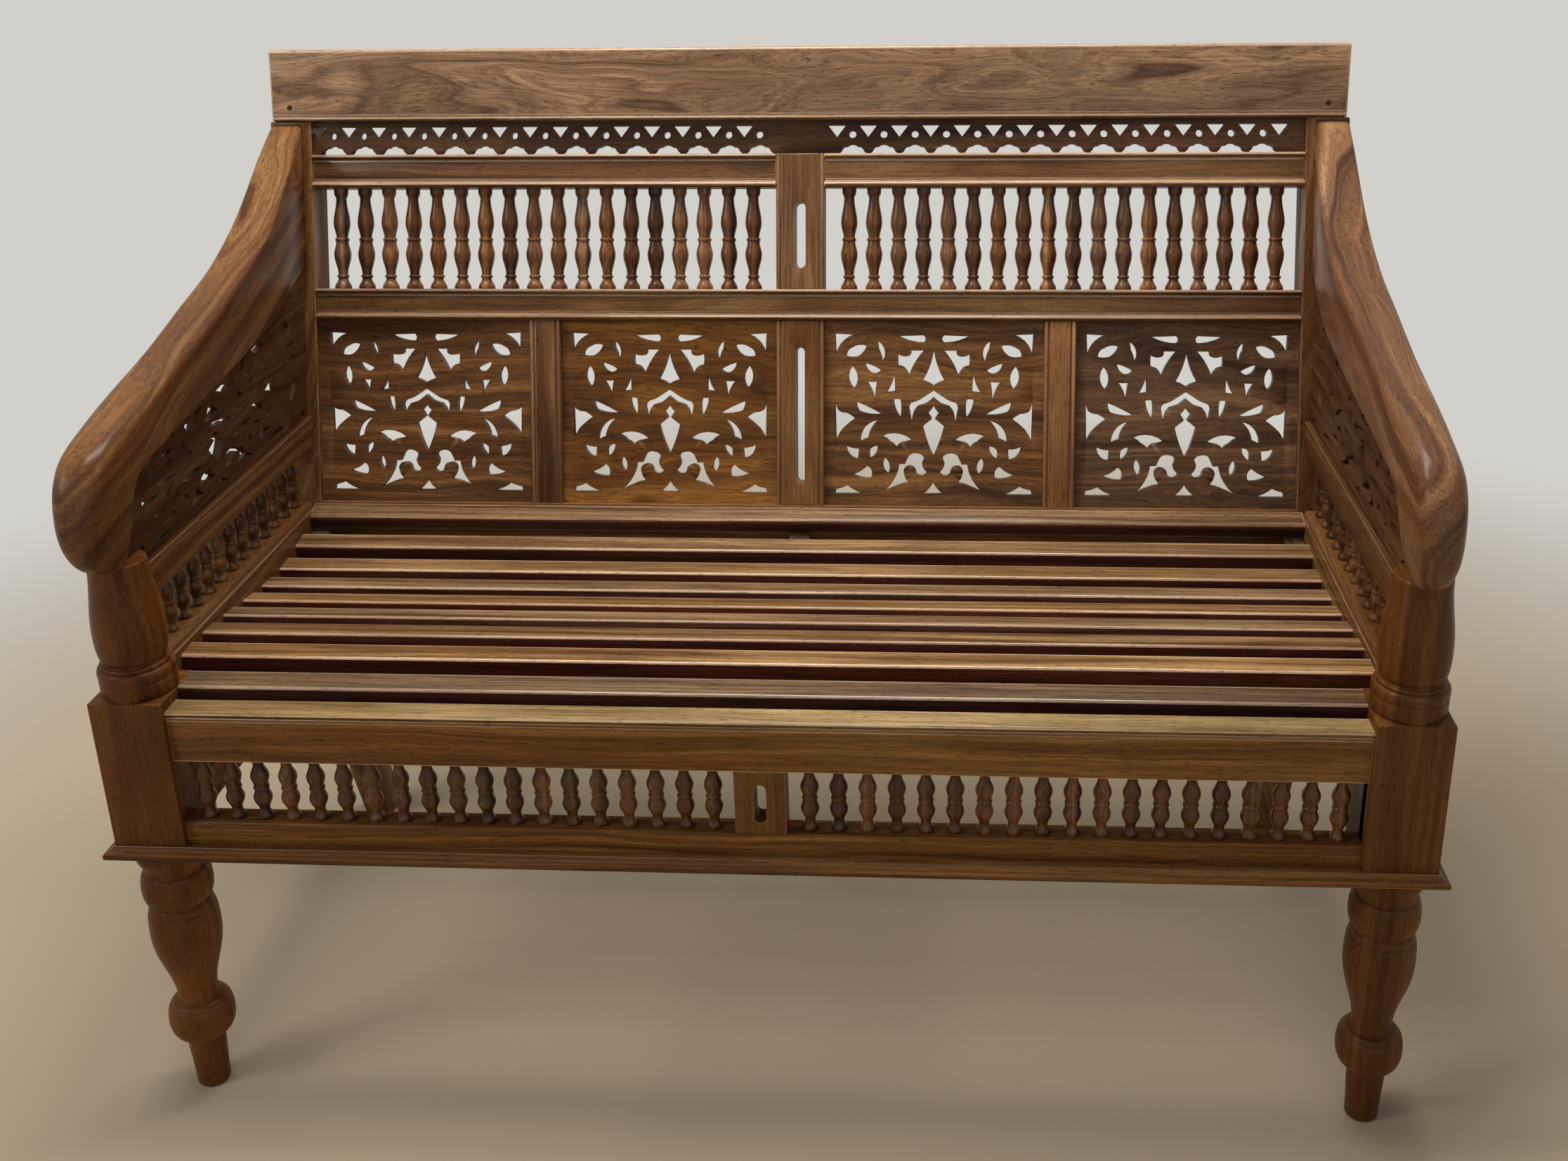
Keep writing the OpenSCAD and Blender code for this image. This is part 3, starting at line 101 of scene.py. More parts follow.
def sheesham(name, line, heart, mid, gold, band_mm=10, figure=0.4, streak=0.25,
             roughness=0.45, coat=0.0, gloss=0.18, specular=0.16):
    """Sheesham (Indian rosewood), planed or turned and finished with a satin lacquer that has worn thin.
    The eye gets brown bands that follow the rings, dark lines along the grain, short open pores, slow golden
    and dark patches, and a soft sheen that varies a little. Line, heart, mid and gold are the bands' colours
    from dark to pale, figure is how far the rings wander, streak is how strong the fine lines are, and gloss
    is the roughness of the coat."""
    mat = bpy.data.materials.new(name)
    mat.use_nodes = True
    tree = mat.node_tree
    tree.nodes.clear()
    grain = put(tree, "ShaderNodeAttribute", attribute_name="grain").outputs["Vector"]
    tint = put(tree, "ShaderNodeAttribute", attribute_name="tint").outputs["Vector"]
    tone, grey, _ = put(tree, "ShaderNodeSeparateXYZ", {"Vector": tint}).outputs

    # Rings run round the heart of the log, where the grain's two cross directions are nought, and wander
    slow_place = put(tree, "ShaderNodeMapping", {"Vector": grain, "Scale": DRIFT_STEPS})
    slow = put(tree, "ShaderNodeTexNoise", {"Vector": slow_place, "Scale": 1.0, "Detail": 2.0})
    drift = put(tree, "ShaderNodeVectorMath", {0: slow.outputs["Color"], 1: (0.5, 0.5, 0.5)},
                operation="SUBTRACT")
    moved = put(tree, "ShaderNodeVectorMath", {0: drift, 1: (0, WANDER * figure, WANDER * figure), 2: grain},
                operation="MULTIPLY_ADD")
    flat = put(tree, "ShaderNodeVectorMath", {0: moved, 1: (0, 1, 1)}, operation="MULTIPLY")
    ring = put(tree, "ShaderNodeVectorMath", {0: flat}, operation="LENGTH").outputs["Value"]
    ring_step = put(tree, "ShaderNodeMath", {0: ring, 1: 1000 / band_mm}, operation="MULTIPLY")
    along = put(tree, "ShaderNodeSeparateXYZ", {"Vector": moved})
    along_step = put(tree, "ShaderNodeMath", {0: along, 1: BAND_STEPS}, operation="MULTIPLY")
    band_place = put(tree, "ShaderNodeCombineXYZ", {"X": ring_step, "Y": along_step})
    bands = put(tree, "ShaderNodeTexNoise", {
        "Vector": band_place, "Scale": 1.0, "Detail": 3.5, "Roughness": 0.6})
    colour = put(tree, "ShaderNodeValToRGB", {"Fac": bands},
                 stops=[(0.30, line), (0.66, gold), (0.40, heart), (0.52, mid)])

    # Patches a hand wide drift towards heartwood or towards gold
    patch_place = put(tree, "ShaderNodeMapping", {"Vector": moved, "Scale": PATCH_STEPS})
    patch = put(tree, "ShaderNodeTexNoise", {"Vector": patch_place, "Scale": 1.0, "Detail": 2.0})
    dark_share = put(tree, "ShaderNodeMapRange", {
        "Value": patch, "From Min": 0.52, "From Max": 0.74, "To Min": 0.0, "To Max": 0.6})
    gold_share = put(tree, "ShaderNodeMapRange", {
        "Value": patch, "From Min": 0.44, "From Max": 0.24, "To Min": 0.0, "To Max": 0.6})

    line_place = put(tree, "ShaderNodeMapping", {"Vector": moved, "Scale": LINE_STEPS})
    lines = put(tree, "ShaderNodeTexNoise", {
        "Vector": line_place, "Scale": 1.0, "Detail": 2.5, "Roughness": 0.6})
    fine = put(tree, "ShaderNodeMapRange", {
        "Value": lines, "From Min": 0.36, "From Max": 0.64,
        "To Min": 1 - 1.4 * streak, "To Max": 1 + 0.7 * streak})
    pore_place = put(tree, "ShaderNodeMapping", {"Vector": moved, "Scale": PORE_STEPS})
    pores = put(tree, "ShaderNodeTexNoise", {"Vector": pore_place, "Scale": 1.0, "Detail": 1.0})
    pore = put(tree, "ShaderNodeMapRange", {
        "Value": pores, "From Min": 0.58, "From Max": 0.70, "To Min": 1.0, "To Max": 0.5})

    # Each piece has its own depth of colour, and some are greyer
    depth = put(tree, "ShaderNodeMapRange", {
        "Value": tone, "From Min": 0.0, "From Max": 1.0, "To Min": 0.5, "To Max": 1.5})
    # Patches are laid over the bands, and then lines, pores and depth
    for share, layer, blend in ((dark_share, linear(heart), "MIX"), (gold_share, linear(gold), "MIX"),
                                (1.0, fine, "MULTIPLY"), (1.0, pore, "MULTIPLY"), (1.0, depth, "MULTIPLY")):
        colour = put(tree, "ShaderNodeMix", {SHARE: share, UNDER: colour, OVER: layer},
                     data_type="RGBA", blend_type=blend).outputs[MIXED]
    greyer = put(tree, "ShaderNodeHueSaturation", {"Saturation": 0.62, "Value": 1.02, "Color": colour})
    colour = put(tree, "ShaderNodeMix", {SHARE: grey, UNDER: colour, OVER: greyer},
                 data_type="RGBA").outputs[MIXED]

    sheen_place = put(tree, "ShaderNodeMapping", {"Vector": grain, "Scale": SHEEN_STEPS})
    sheen = put(tree, "ShaderNodeTexNoise", {"Vector": sheen_place, "Scale": 1.0, "Detail": 2.0})
    rough = put(tree, "ShaderNodeMapRange", {
        "Value": sheen, "From Min": 0.3, "From Max": 0.7,
        "To Min": roughness - 0.08, "To Max": roughness + 0.10})
    height = put(tree, "ShaderNodeMath", {0: lines, 1: pore}, operation="ADD")
    bump = put(tree, "ShaderNodeBump", {"Strength": 0.4, "Distance": 0.25 * MM, "Height": height})
    shader = put(tree, "ShaderNodeBsdfPrincipled", {
        "Base Color": colour, "Roughness": rough, "IOR": 1.5, "Specular IOR Level": specular,
        "Coat Weight": coat, "Coat Roughness": gloss, "Normal": bump})
    put(tree, "ShaderNodeOutputMaterial", {"Surface": shader})
    return mat


WOODS = {
    # Turned posts, dark and even
    "post": sheesham("sheesham_posts", "#4b290e", "#633b17", "#72471e", "#875a2b",
                     band_mm=16, figure=0.3, streak=0.12, coat=0.15, specular=0.06),
    # The crest is the palest board, with wavy figure
    "crest": sheesham("sheesham_crest", "#513319", "#7a5634", "#987352", "#bd9263",
                      band_mm=6, figure=1.3, coat=0.1),
    # Rails, stiles and rear posts are straight-grained
    "rail": sheesham("sheesham_rails", "#4d2e14", "#6f4722", "#84572a", "#a07742",
                     band_mm=9, figure=0.5, streak=0.2, coat=0.1, specular=0.1),
    # The arms have broad figure, and their lacquer shines along the top
    "arm": sheesham("sheesham_arms", "#3c1f0c", "#60391a", "#7a4e25", "#9c7140",
                    band_mm=12, figure=0.9, streak=0.2, coat=0.28, gloss=0.24, specular=0.06),
    # The slats' tops are pale from use, with strong straight lines
    "slat": sheesham("sheesham_slats", "#4c2e18", "#785634", "#8f6d46", "#b08c5e",
                     band_mm=8, figure=0.3, streak=0.32, roughness=0.40, coat=0.2, specular=0.1),
    # The pierced panels have the broadest figure, brown and gold
    "panel": sheesham("sheesham_panels", "#3c200d", "#63401f", "#7d5227", "#a9763a",
                      band_mm=14, figure=1.3),
    # The frieze and the side panels are darker: a painted shade for the shade of the crest and the arms
    "fret": sheesham("sheesham_frets", "#38200f", "#54341b", "#6b4525", "#84592f",
                     band_mm=12, figure=0.8),
    # The spindles are the glossiest turnings
    "spindle": sheesham("sheesham_spindles", "#341c0e", "#5a3519", "#784a25", "#a06e38",
                        band_mm=8, figure=0.4, roughness=0.38, coat=0.35, gloss=0.15, specular=0.1),
    # The base moulding is even and a little darker than the rails
    "moulding": sheesham("sheesham_moulding", "#42260f", "#633c1b", "#7a4e26", "#946838",
                         band_mm=9, figure=0.3),
    # The hidden frame is dull bare wood
    "frame": sheesham("sheesham_unlacquered", "#33200f", "#4d3520", "#60432a", "#775a3a",
                      band_mm=10, figure=0.3, roughness=0.7),
    # Pegs show their end grain, which is very dark
    "peg": sheesham("sheesham_pegs", "#20100a", "#331b0d", "#402413", "#53321b",
                    band_mm=4, figure=0.3, roughness=0.5),
    # The slats' sides and undersides are dark red-brown: a painted shade for the narrow gaps between slats,
    # where little light reaches
    "slat_side": sheesham("sheesham_stained_edges", "#34140b", "#4c2115", "#5a2b1b", "#6b3a26",
                          band_mm=8, figure=0.3, roughness=0.5, specular=0.08),
}
# Handling has rubbed the arrises, which are paler and glossier than the faces. The edge and nosing finishes
# are paler still, as painted highlight and painted sheen
WORN_AND_HIGHLIGHTED = {
    # Beads and the arrises that hands and legs touch are rubbed pale, and shine. Their pale colour is also a
    # painted highlight line, where the lamp above catches them
    "edge": sheesham("sheesham_worn_edge", "#96704c", "#b8906c", "#cba686", "#dfc09c",
                     band_mm=10, figure=0.3, streak=0.15, roughness=0.34, coat=0.8, gloss=0.12),
    # The top of the front rail is rubbed to a dull straw colour, and painted paler still as a sheen on its
    # top faces
    "nosing": sheesham("sheesham_rubbed_nosing", "#66502f", "#876e49", "#a0885d", "#bda577",
                       band_mm=8, figure=0.3, roughness=0.38, coat=0.3),
    # Other arrises are only a little paler than their board
    "soft_edge": sheesham("sheesham_soft_edge", "#5f3e20", "#845d36", "#986e46", "#b28756",
                          band_mm=10, figure=0.3, streak=0.15, roughness=0.40, coat=0.5),
}


# Finishing a piece

def islands(mesh):
    """Number of the loose part that each vertex belongs to"""
    # Each pass takes the lower label to both ends of every edge, until nothing changes
    label = np.arange(len(mesh.vertices))
    edges = np.empty(len(mesh.edges) * 2, dtype=np.int64)
    mesh.edges.foreach_get("vertices", edges)
    a, b = edges.reshape(-1, 2).T
    while True:
        low = np.minimum(label[a], label[b])
        before = label.copy()
        np.minimum.at(label, a, low)
        np.minimum.at(label, b, low)
        label = label[label]
        if (label == before).all():
            return np.unique(label, return_inverse=True)[1]


# A board may come from anywhere within this many metres up or down the log
LOG_REACH = 3


def lay_grain(obj, along, face, tones, greys, seed, pith=(0.04, 0.09)):
    """Stores the grain's own coordinates and each loose part's tint on the mesh. Tones and greys are a mean
    and a spread, or a list with one value for each loose part, and pith is how far away the heart of the log
    lay, in metres, at least and at most."""
    mesh = obj.data
    points = np.empty(len(mesh.vertices) * 3, dtype=np.float32)
    mesh.vertices.foreach_get("co", points)
    x = Vector(along).normalized()
    z = Vector(face)
    z = (z - x * z.dot(x)).normalized()
    turned = points.reshape(-1, 3) @ np.array([x, z.cross(x), z]).T
    part = islands(mesh)
    dice = random.Random(seed)
    shift, tint = [], []
    for i in range(part.max() + 1):
        middle = turned[part == i].mean(axis=0)
        angle = dice.uniform(0, 2 * math.pi)
        away = dice.uniform(*pith)
        shift.append((dice.uniform(-LOG_REACH, LOG_REACH),
                      away * math.cos(angle) - middle[1], away * math.sin(angle) - middle[2]))
        tone = tones[i % len(tones)] if isinstance(tones, list) else dice.gauss(*tones)
        grey = greys[i % len(greys)] if isinstance(greys, list) else dice.gauss(*greys)
        tint.append((min(max(tone, 0), 1), min(max(grey, 0), 1), 0))
    grain = (turned + np.array(shift, dtype=np.float32)[part]).astype(np.float32)
    for name, data in (("grain", grain), ("tint", np.array(tint, dtype=np.float32)[part])):
        mesh.attributes.new(name, "FLOAT_VECTOR", "POINT").data.foreach_set("vector", data.ravel())


def settle(obj):
    """Turns live modifiers into a plain mesh"""
    graph = bpy.context.evaluated_depsgraph_get()
    mesh = bpy.data.meshes.new_from_object(obj.evaluated_get(graph), depsgraph=graph)
    mesh.name = obj.name
    obj.modifiers.clear()
    obj.data = mesh


def smooth_by_angle(obj, degrees):
    """Shades the faces smooth, apart from edges that turn by more than so many degrees"""
    obj.data.polygons.foreach_set("use_smooth", [True] * len(obj.data.polygons))
    obj.data.set_sharp_from_angle(angle=math.radians(degrees))


# Corners closer than WELD are one corner, and faces that turn by less than LEVEL are one face
WELD = 0.02 * MM
LEVEL = math.radians(0.4)
# How much of a face's normal points up, out or to the front
PARTLY, MOSTLY = 0.3, 0.8


def eased(node, name, wood, edge, width, along, face, angle=38, segments=2, smooth=28, rub=False,
          levels=None, **grain):
    """A copy of a CAD solid, which stands for it, with its arrises eased by width mm, or left sharp at 0.
    Rubbing pales the faces of its beads that look up and out, partly as wear and partly as a painted
    highlight where the lamp above catches them. Levels moves heights, each given in mm as (of the solid, of
    the copy)."""
    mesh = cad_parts[node].data.copy()
    work = bmesh.new()
    work.from_mesh(mesh)
    bmesh.ops.remove_doubles(work, verts=work.verts, dist=WELD)
    if width:
        bmesh.ops.dissolve_limit(work, angle_limit=LEVEL, verts=work.verts, edges=work.edges)
    if levels:
        for vert in work.verts:
            vert.co.z = float(np.interp(vert.co.z / MM, *zip(*levels))) * MM
    work.to_mesh(mesh)
    work.free()
    mesh.materials.clear()
    mesh.materials.append(WOODS[wood])
    mesh.materials.append(WORN_AND_HIGHLIGHTED.get(edge, WOODS[wood]))
    mesh.polygons.foreach_set("material_index", [0] * len(mesh.polygons))
    obj = bpy.data.objects.new(name, mesh)
    bpy.context.collection.objects.link(obj)
    if width:
        bevel = obj.modifiers.new("eased", "BEVEL")
        bevel.width = width * MM
        bevel.segments = segments
        bevel.limit_method = "ANGLE"
        bevel.angle_limit = math.radians(angle)
        bevel.use_clamp_overlap = False
        # The eased arrises take the second, paler finish: wear, and with the edge finish also a painted
        # highlight line
        bevel.material = 1
        bevel.miter_outer = "MITER_ARC"
        settle(obj)
    smooth_by_angle(obj, smooth)
    # Faces that look up and out take the paler finish too: wear, and a painted highlight from the lamp above
    if rub:
        for polygon in obj.data.polygons:
            if polygon.normal.z > PARTLY and polygon.normal.dot(face) > PARTLY:
                polygon.material_index = 1
    lay_grain(obj, along, face, **grain)
    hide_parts(node)
    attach(obj, "root")
    return obj


def refinish(obj, finish, chosen):
    """Gives another finish to the faces that chosen picks"""
    obj.data.materials.append(finish)
    for polygon in obj.data.polygons:
        if chosen(polygon):
            polygon.material_index = len(obj.data.materials) - 1


# Turned rows

def line_through(name, points, radii=None, closed=False):
    """Straight-sided curve through points in millimetres, which may carry a radius each"""
    data = bpy.data.curves.new(name, "CURVE")
    data.dimensions = "3D"
    line = data.splines.new("POLY")
    line.points.add(len(points) - 1)
    for i, (x, y, z) in enumerate(points):
        line.points[i].co = (x * MM, y * MM, z * MM, 1)
        line.points[i].radius = radii[i] * MM if radii else 1
    line.use_cyclic_u = closed
    obj = bpy.data.objects.new(name, data)
    bpy.context.collection.objects.link(obj)
    return obj


CURVE_STEPS = 4


def turning(rows):
    """Points of a turned profile from rows of (height, radius, curve to the next row), in millimetres.
    Curve 0 is straight, 1 is an S, 2 swells out to a crest and 3 falls away from a crest."""
    points = []
    for (z0, r0, curve), (z1, r1, _) in zip(rows, rows[1:]):
        steps = CURVE_STEPS if curve else 1
        for t in (j / steps for j in range(steps)):
            quarter = t * math.pi / 2
            up, out = ((t, t), (t, (1 - math.cos(math.pi * t)) / 2),
                       (1 - math.cos(quarter), math.sin(quarter)),
                       (math.sin(quarter), 1 - math.cos(quarter)))[curve]
            points.append((z0 + (z1 - z0) * up, r0 + (r1 - r0) * out))
    points.append(rows[-1][:2])
    return points


def tree_with(name, inputs):
    """An empty Geometry Nodes tree with named inputs"""
    tree = bpy.data.node_groups.new(name, "GeometryNodeTree")
    for label, kind in inputs:
        tree.interface.new_socket(label, in_out="INPUT", socket_type="NodeSocket" + kind)
    tree.interface.new_socket("Geometry", in_out="OUTPUT", socket_type="NodeSocketGeometry")
    return tree, put(tree, "NodeGroupInput").outputs


def turned_row_tree():
    """Turns a profile on a lathe and repeats it in a row, each turning spun by chance"""
    tree, given = tree_with("turned_row", [
        ("Profile", "Object"), ("Sides", "Int"), ("Count", "Int"), ("First", "Vector"), ("Step", "Vector"),
        ("Seed", "Int"), ("Wood", "Material")])
    spine = put(tree, "GeometryNodeObjectInfo", {"Object": given["Profile"]}).outputs["Geometry"]
    circle = put(tree, "GeometryNodeCurvePrimitiveCircle", {"Resolution": given["Sides"], "Radius": 1.0})
    radius = put(tree, "GeometryNodeInputRadius")
    spindle = put(tree, "GeometryNodeCurveToMesh", {
        "Curve": spine, "Profile Curve": circle, "Scale": radius, "Fill Caps": True})
    line = put(tree, "GeometryNodeMeshLine", {
        "Count": given["Count"], "Start Location": given["First"], "Offset": given["Step"]})
    spin = put(tree, "FunctionNodeRandomValue", {
        "Min": (0, 0, 0), "Max": (0, 0, 6.283), "Seed": given["Seed"]}, data_type="FLOAT_VECTOR")
    row = put(tree, "GeometryNodeInstanceOnPoints", {"Points": line, "Instance": spindle, "Rotation": spin})
    solid = put(tree, "GeometryNodeRealizeInstances", {"Geometry": row})
    dressed = put(tree, "GeometryNodeSetMaterial", {"Geometry": solid, "Material": given["Wood"]})
    put(tree, "NodeGroupOutput", {"Geometry": dressed})
    return tree


def grow(name, tree, values, helpers):
    """Runs a tree on an empty mesh with its named inputs, keeps the plain mesh and removes the helpers"""
    obj = bpy.data.objects.new(name, bpy.data.meshes.new(name))
    bpy.context.collection.objects.link(obj)
    modifier = obj.modifiers.new("rule", "NODES")
    modifier.node_group = tree
    for item in tree.interface.items_tree:
        if item.in_out == "INPUT":
            modifier[item.identifier] = values[item.name]
    settle(obj)
    for helper in helpers:
        bpy.data.objects.remove(helper)
    return obj


# The pins at a spindle's ends go into the rails. A profile can't step at one height, so it takes a hair
PIN_R, PIN_LENGTH, HAIR = 3.9, 7, 0.02


def back_spindle(h):
    """Tall spindle of the back, h mm between its pins: two vases with a bead between them"""
    return [(-PIN_LENGTH, PIN_R, 0), (-HAIR, PIN_R, 0), (0, 8.8, 0), (1.5, 9.2, 1), (0.105 * h, 5, 0),
            (0.115 * h, 6.3, 2), (0.128 * h, 6.5, 3), (0.14 * h, 5, 1), (0.345 * h, 9.2, 1),
            (0.475 * h, 6.6, 0), (0.48 * h, 7.4, 2), (0.492 * h, 7.7, 3), (0.505 * h, 7.2, 0),
            (0.51 * h, 6.1, 1), (0.655 * h, 9, 1), (0.9 * h, 5.5, 1), (0.955 * h, 7.6, 0), (h, 7.8, 0),
            (h + HAIR, PIN_R, 0), (h + PIN_LENGTH, PIN_R, 0)]


def short_spindle(h):
    """Short spindle of the aprons and sides, h mm between its pins: two small vases with a groove between"""
    return [(-PIN_LENGTH, PIN_R, 0), (-HAIR, PIN_R, 0), (0, 6.8, 0), (2, 7.2, 1), (0.14 * h, 4.4, 1),
            (0.33 * h, 8.3, 1), (0.47 * h, 6.2, 0), (0.49 * h, 7, 0), (0.51 * h, 7, 0), (0.53 * h, 6.2, 1),
            (0.68 * h, 8.3, 1), (0.88 * h, 4.4, 1), (0.97 * h, 6.9, 0), (h, 6.9, 0), (h + HAIR, PIN_R, 0),
            (h + PIN_LENGTH, PIN_R, 0)]


turned_row = turned_row_tree()


def spindles(node, name, rows, first, step, count, along=UP, leaning=None, **grain):
    """A row of spindles whose first foot and step are in millimetres"""
    profile_points = turning(rows)
    profile = line_through(name + "_profile", [(0, 0, z) for z, r in profile_points],
                           [r for z, r in profile_points])
    obj = grow(name, turned_row, {
        "Profile": profile, "Sides": 24, "Count": count, "First": [c * MM for c in first],
        "Step": [c * MM for c in step], "Seed": grain["seed"], "Wood": WOODS["spindle"]}, [profile])
    if leaning:
        obj.data.transform(leaning)
    smooth_by_angle(obj, 30)
    lay_grain(obj, along, FRONT, pith=(0.004, 0.03), **grain)
    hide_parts(node)
    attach(obj, "root")


def bay(outer, inner, count, spare):
    """Place of a bay's outermost spindle and the step to the next, in millimetres. Spare is how many steps
    are left over, and half of it goes to each end."""
    step = (outer - inner) / (count + spare)
    return outer - (outer - inner - step * (count - 1)) / 2, step


# Bays reach from the posts to the stiles, and a row is given by the heights of its foot and head. All are in
# millimetres, and the back's own row is measured up the back and behind its face
BAY_X, STILE_W, APRON_STILE_W, BLOCK_IN = 535, 52, 46, 525
BACK_COUNT, APRON_COUNT, SIDE_COUNT = 18, 19, 12
BACK_ROW, APRON_ROW, SIDE_ROW = (235, 344), (314, 377), (458, 516)
BACK_ROW_Y = 15
APRON_Y = FRONT_Y / MM + 17
SIDE_X, SIDE_FIRST, SIDE_STEP = 557.5, FRONT_Y / MM + 102.5, 27
LEAN_BACK = Matrix.Translation((0, BACK_Y, SEAT_Z)) @ Matrix.Rotation(-RAKE, 4, "X")
back_first, back_step = bay(BAY_X, STILE_W / 2, BACK_COUNT, 0.95)
apron_first, apron_step = bay(BLOCK_IN, APRON_STILE_W / 2, APRON_COUNT, 0.55)
for side, name in ((-1, "left"), (1, "right")):
    spindles("back_spindles_" + name, "turned_back_spindles_" + name, back_spindle(BACK_ROW[1] - BACK_ROW[0]),
             (side * back_first, BACK_ROW_Y, BACK_ROW[0]), (-side * back_step, 0, 0), BACK_COUNT,
             along=UP_BACK, leaning=LEAN_BACK, tones=(0.5, 0.28), greys=(0.15, 0.2), seed=11 + side)
    spindles("apron_spindles_" + name, "turned_apron_spindles_" + name,
             short_spindle(APRON_ROW[1] - APRON_ROW[0]), (side * apron_first, APRON_Y, APRON_ROW[0]),
             (-side * apron_step, 0, 0), APRON_COUNT, tones=(0.22, 0.14), greys=(0.0, 0.08), seed=21 + side)
    for node, (foot, head), seed in (("side_spindles_", SIDE_ROW, 31),
                                     ("side_apron_spindles_", APRON_ROW, 41)):
        spindles(node + name, "turned_" + node + name, short_spindle(head - foot),
                 (side * SIDE_X, SIDE_FIRST, foot), (0, SIDE_STEP, 0), SIDE_COUNT,
                 tones=(0.22, 0.12), greys=(0.1, 0.15), seed=seed + side)


# Seat slats

# The slats' top as (distance behind the front faces, height) in mm: front edge, swell behind the knees, dip
# and back
SEAT_LINE = [(35, 434), (126, 443.5), (308, 426), (SEAT_DEPTH / MM, SEAT_Z / MM)]


def seat_height(s):
    """Height of the slats' top, s mm behind the front faces: a cubic through the four heights of SEAT_LINE"""
    total = 0
    for i, (si, zi) in enumerate(SEAT_LINE):
        weight = zi
        for j, (sj, _) in enumerate(SEAT_LINE):
            if j != i:
                weight *= (s - sj) / (si - sj)
        total += weight
    return total


def slat_tree():
    """Lays a slat across each point of the seat's side line, tilted with it"""
    tree, given = tree_with("slats_on_line", [
        ("Side line", "Object"), ("Section", "Object"), ("Half length", "Float"),
        ("First shortened", "Float"), ("Wood", "Material")])
    side_line = put(tree, "GeometryNodeObjectInfo", {"Object": given["Side line"]}).outputs["Geometry"]
    section = put(tree, "GeometryNodeObjectInfo", {"Object": given["Section"]}).outputs["Geometry"]
    low = put(tree, "ShaderNodeMath", {0: given["Half length"], 1: -1.0}, operation="MULTIPLY")
    start = put(tree, "ShaderNodeCombineXYZ", {"X": low})
    end = put(tree, "ShaderNodeCombineXYZ", {"X": given["Half length"]})
    line = put(tree, "GeometryNodeCurvePrimitiveLine", {"Start": start, "End": end})
    slat = put(tree, "GeometryNodeCurveToMesh", {"Curve": line, "Profile Curve": section, "Fill Caps": True})
    points = put(tree, "GeometryNodeCurveToPoints", {"Curve": side_line}, mode="EVALUATED").outputs
    tilt = put(tree, "FunctionNodeAlignRotationToVector", {"Vector": points["Tangent"]},
               axis="Y", pivot_axis="X")
    index = put(tree, "GeometryNodeInputIndex")
    first = put(tree, "FunctionNodeCompare", {COUNT_A: index, COUNT_B: 0}, data_type="INT", operation="EQUAL")
    reach = put(tree, "GeometryNodeSwitch", {
        "Switch": first, "False": 1.0, "True": given["First shortened"]}, input_type="FLOAT")
    scale = put(tree, "ShaderNodeCombineXYZ", {"X": reach, "Y": 1.0, "Z": 1.0})
    slats = put(tree, "GeometryNodeInstanceOnPoints", {
        "Points": points["Points"], "Instance": slat, "Rotation": tilt, "Scale": scale})
    solid = put(tree, "GeometryNodeRealizeInstances", {"Geometry": slats})
    dressed = put(tree, "GeometryNodeSetMaterial", {"Geometry": solid, "Material": given["Wood"]})
    put(tree, "NodeGroupOutput", {"Geometry": dressed})
    return tree


SLAT_COUNT, SLAT_STEP = 8, 45.5
SLAT_W, SLAT_T, SLAT_HALF = 26, 18, 541.5
EDGE = SLAT_W / 2
TOP, RUBBED_AND_HIGHLIGHT, PAINTED_SHADE = 0, 1, 2
# Section of a slat in mm, from its underside round by the rear to the front, with both upper arrises worn
# round. Each point has the finish of the face that follows it: the top; a strip at each arris, rubbed pale
# and paler still as a painted highlight line; or the sides and underside, darkened as painted shade between
# slats.
slat_section = [
    (-EDGE + 0.8, -SLAT_T, PAINTED_SHADE), (EDGE - 0.8, -SLAT_T, PAINTED_SHADE), (EDGE, -SLAT_T + 0.8, PAINTED_SHADE),
    (EDGE, -2.2, RUBBED_AND_HIGHLIGHT), (EDGE - 0.7, -0.8, RUBBED_AND_HIGHLIGHT), (EDGE - 2.2, -0.1, RUBBED_AND_HIGHLIGHT), (EDGE - 3.2, 0, TOP),
    (-EDGE + 2.6, 0, RUBBED_AND_HIGHLIGHT), (-EDGE + 1.4, -0.25, RUBBED_AND_HIGHLIGHT), (-EDGE + 0.5, -0.9, RUBBED_AND_HIGHLIGHT),
    (-EDGE, -2.0, PAINTED_SHADE), (-EDGE, -SLAT_T + 0.8, PAINTED_SHADE)]
middles = [SEAT_LINE[0][0] + EDGE + SLAT_STEP * i for i in range(SLAT_COUNT)]
side_line = line_through("seat_side_line", [(0, FRONT_Y / MM + s, seat_height(s)) for s in middles])
# The section is drawn upside down, so that a line along +X carries it upright
section = line_through("slat_section", [(-y, -z, 0) for y, z, _ in slat_section], closed=True)
# The first slat is shorter, because it lies between the front posts
slats = grow("seat_slats_on_line", slat_tree(), {
    "Side line": side_line, "Section": section, "Half length": SLAT_HALF * MM,
    "First shortened": BLOCK_IN / SLAT_HALF, "Wood": WOODS["slat"]}, [side_line, section])
work = bmesh.new()
work.from_mesh(slats.data)
bmesh.ops.recalc_face_normals(work, faces=work.faces)
work.to_mesh(slats.data)
work.free()
smooth_by_angle(slats, 40)
slats.data.materials.clear()
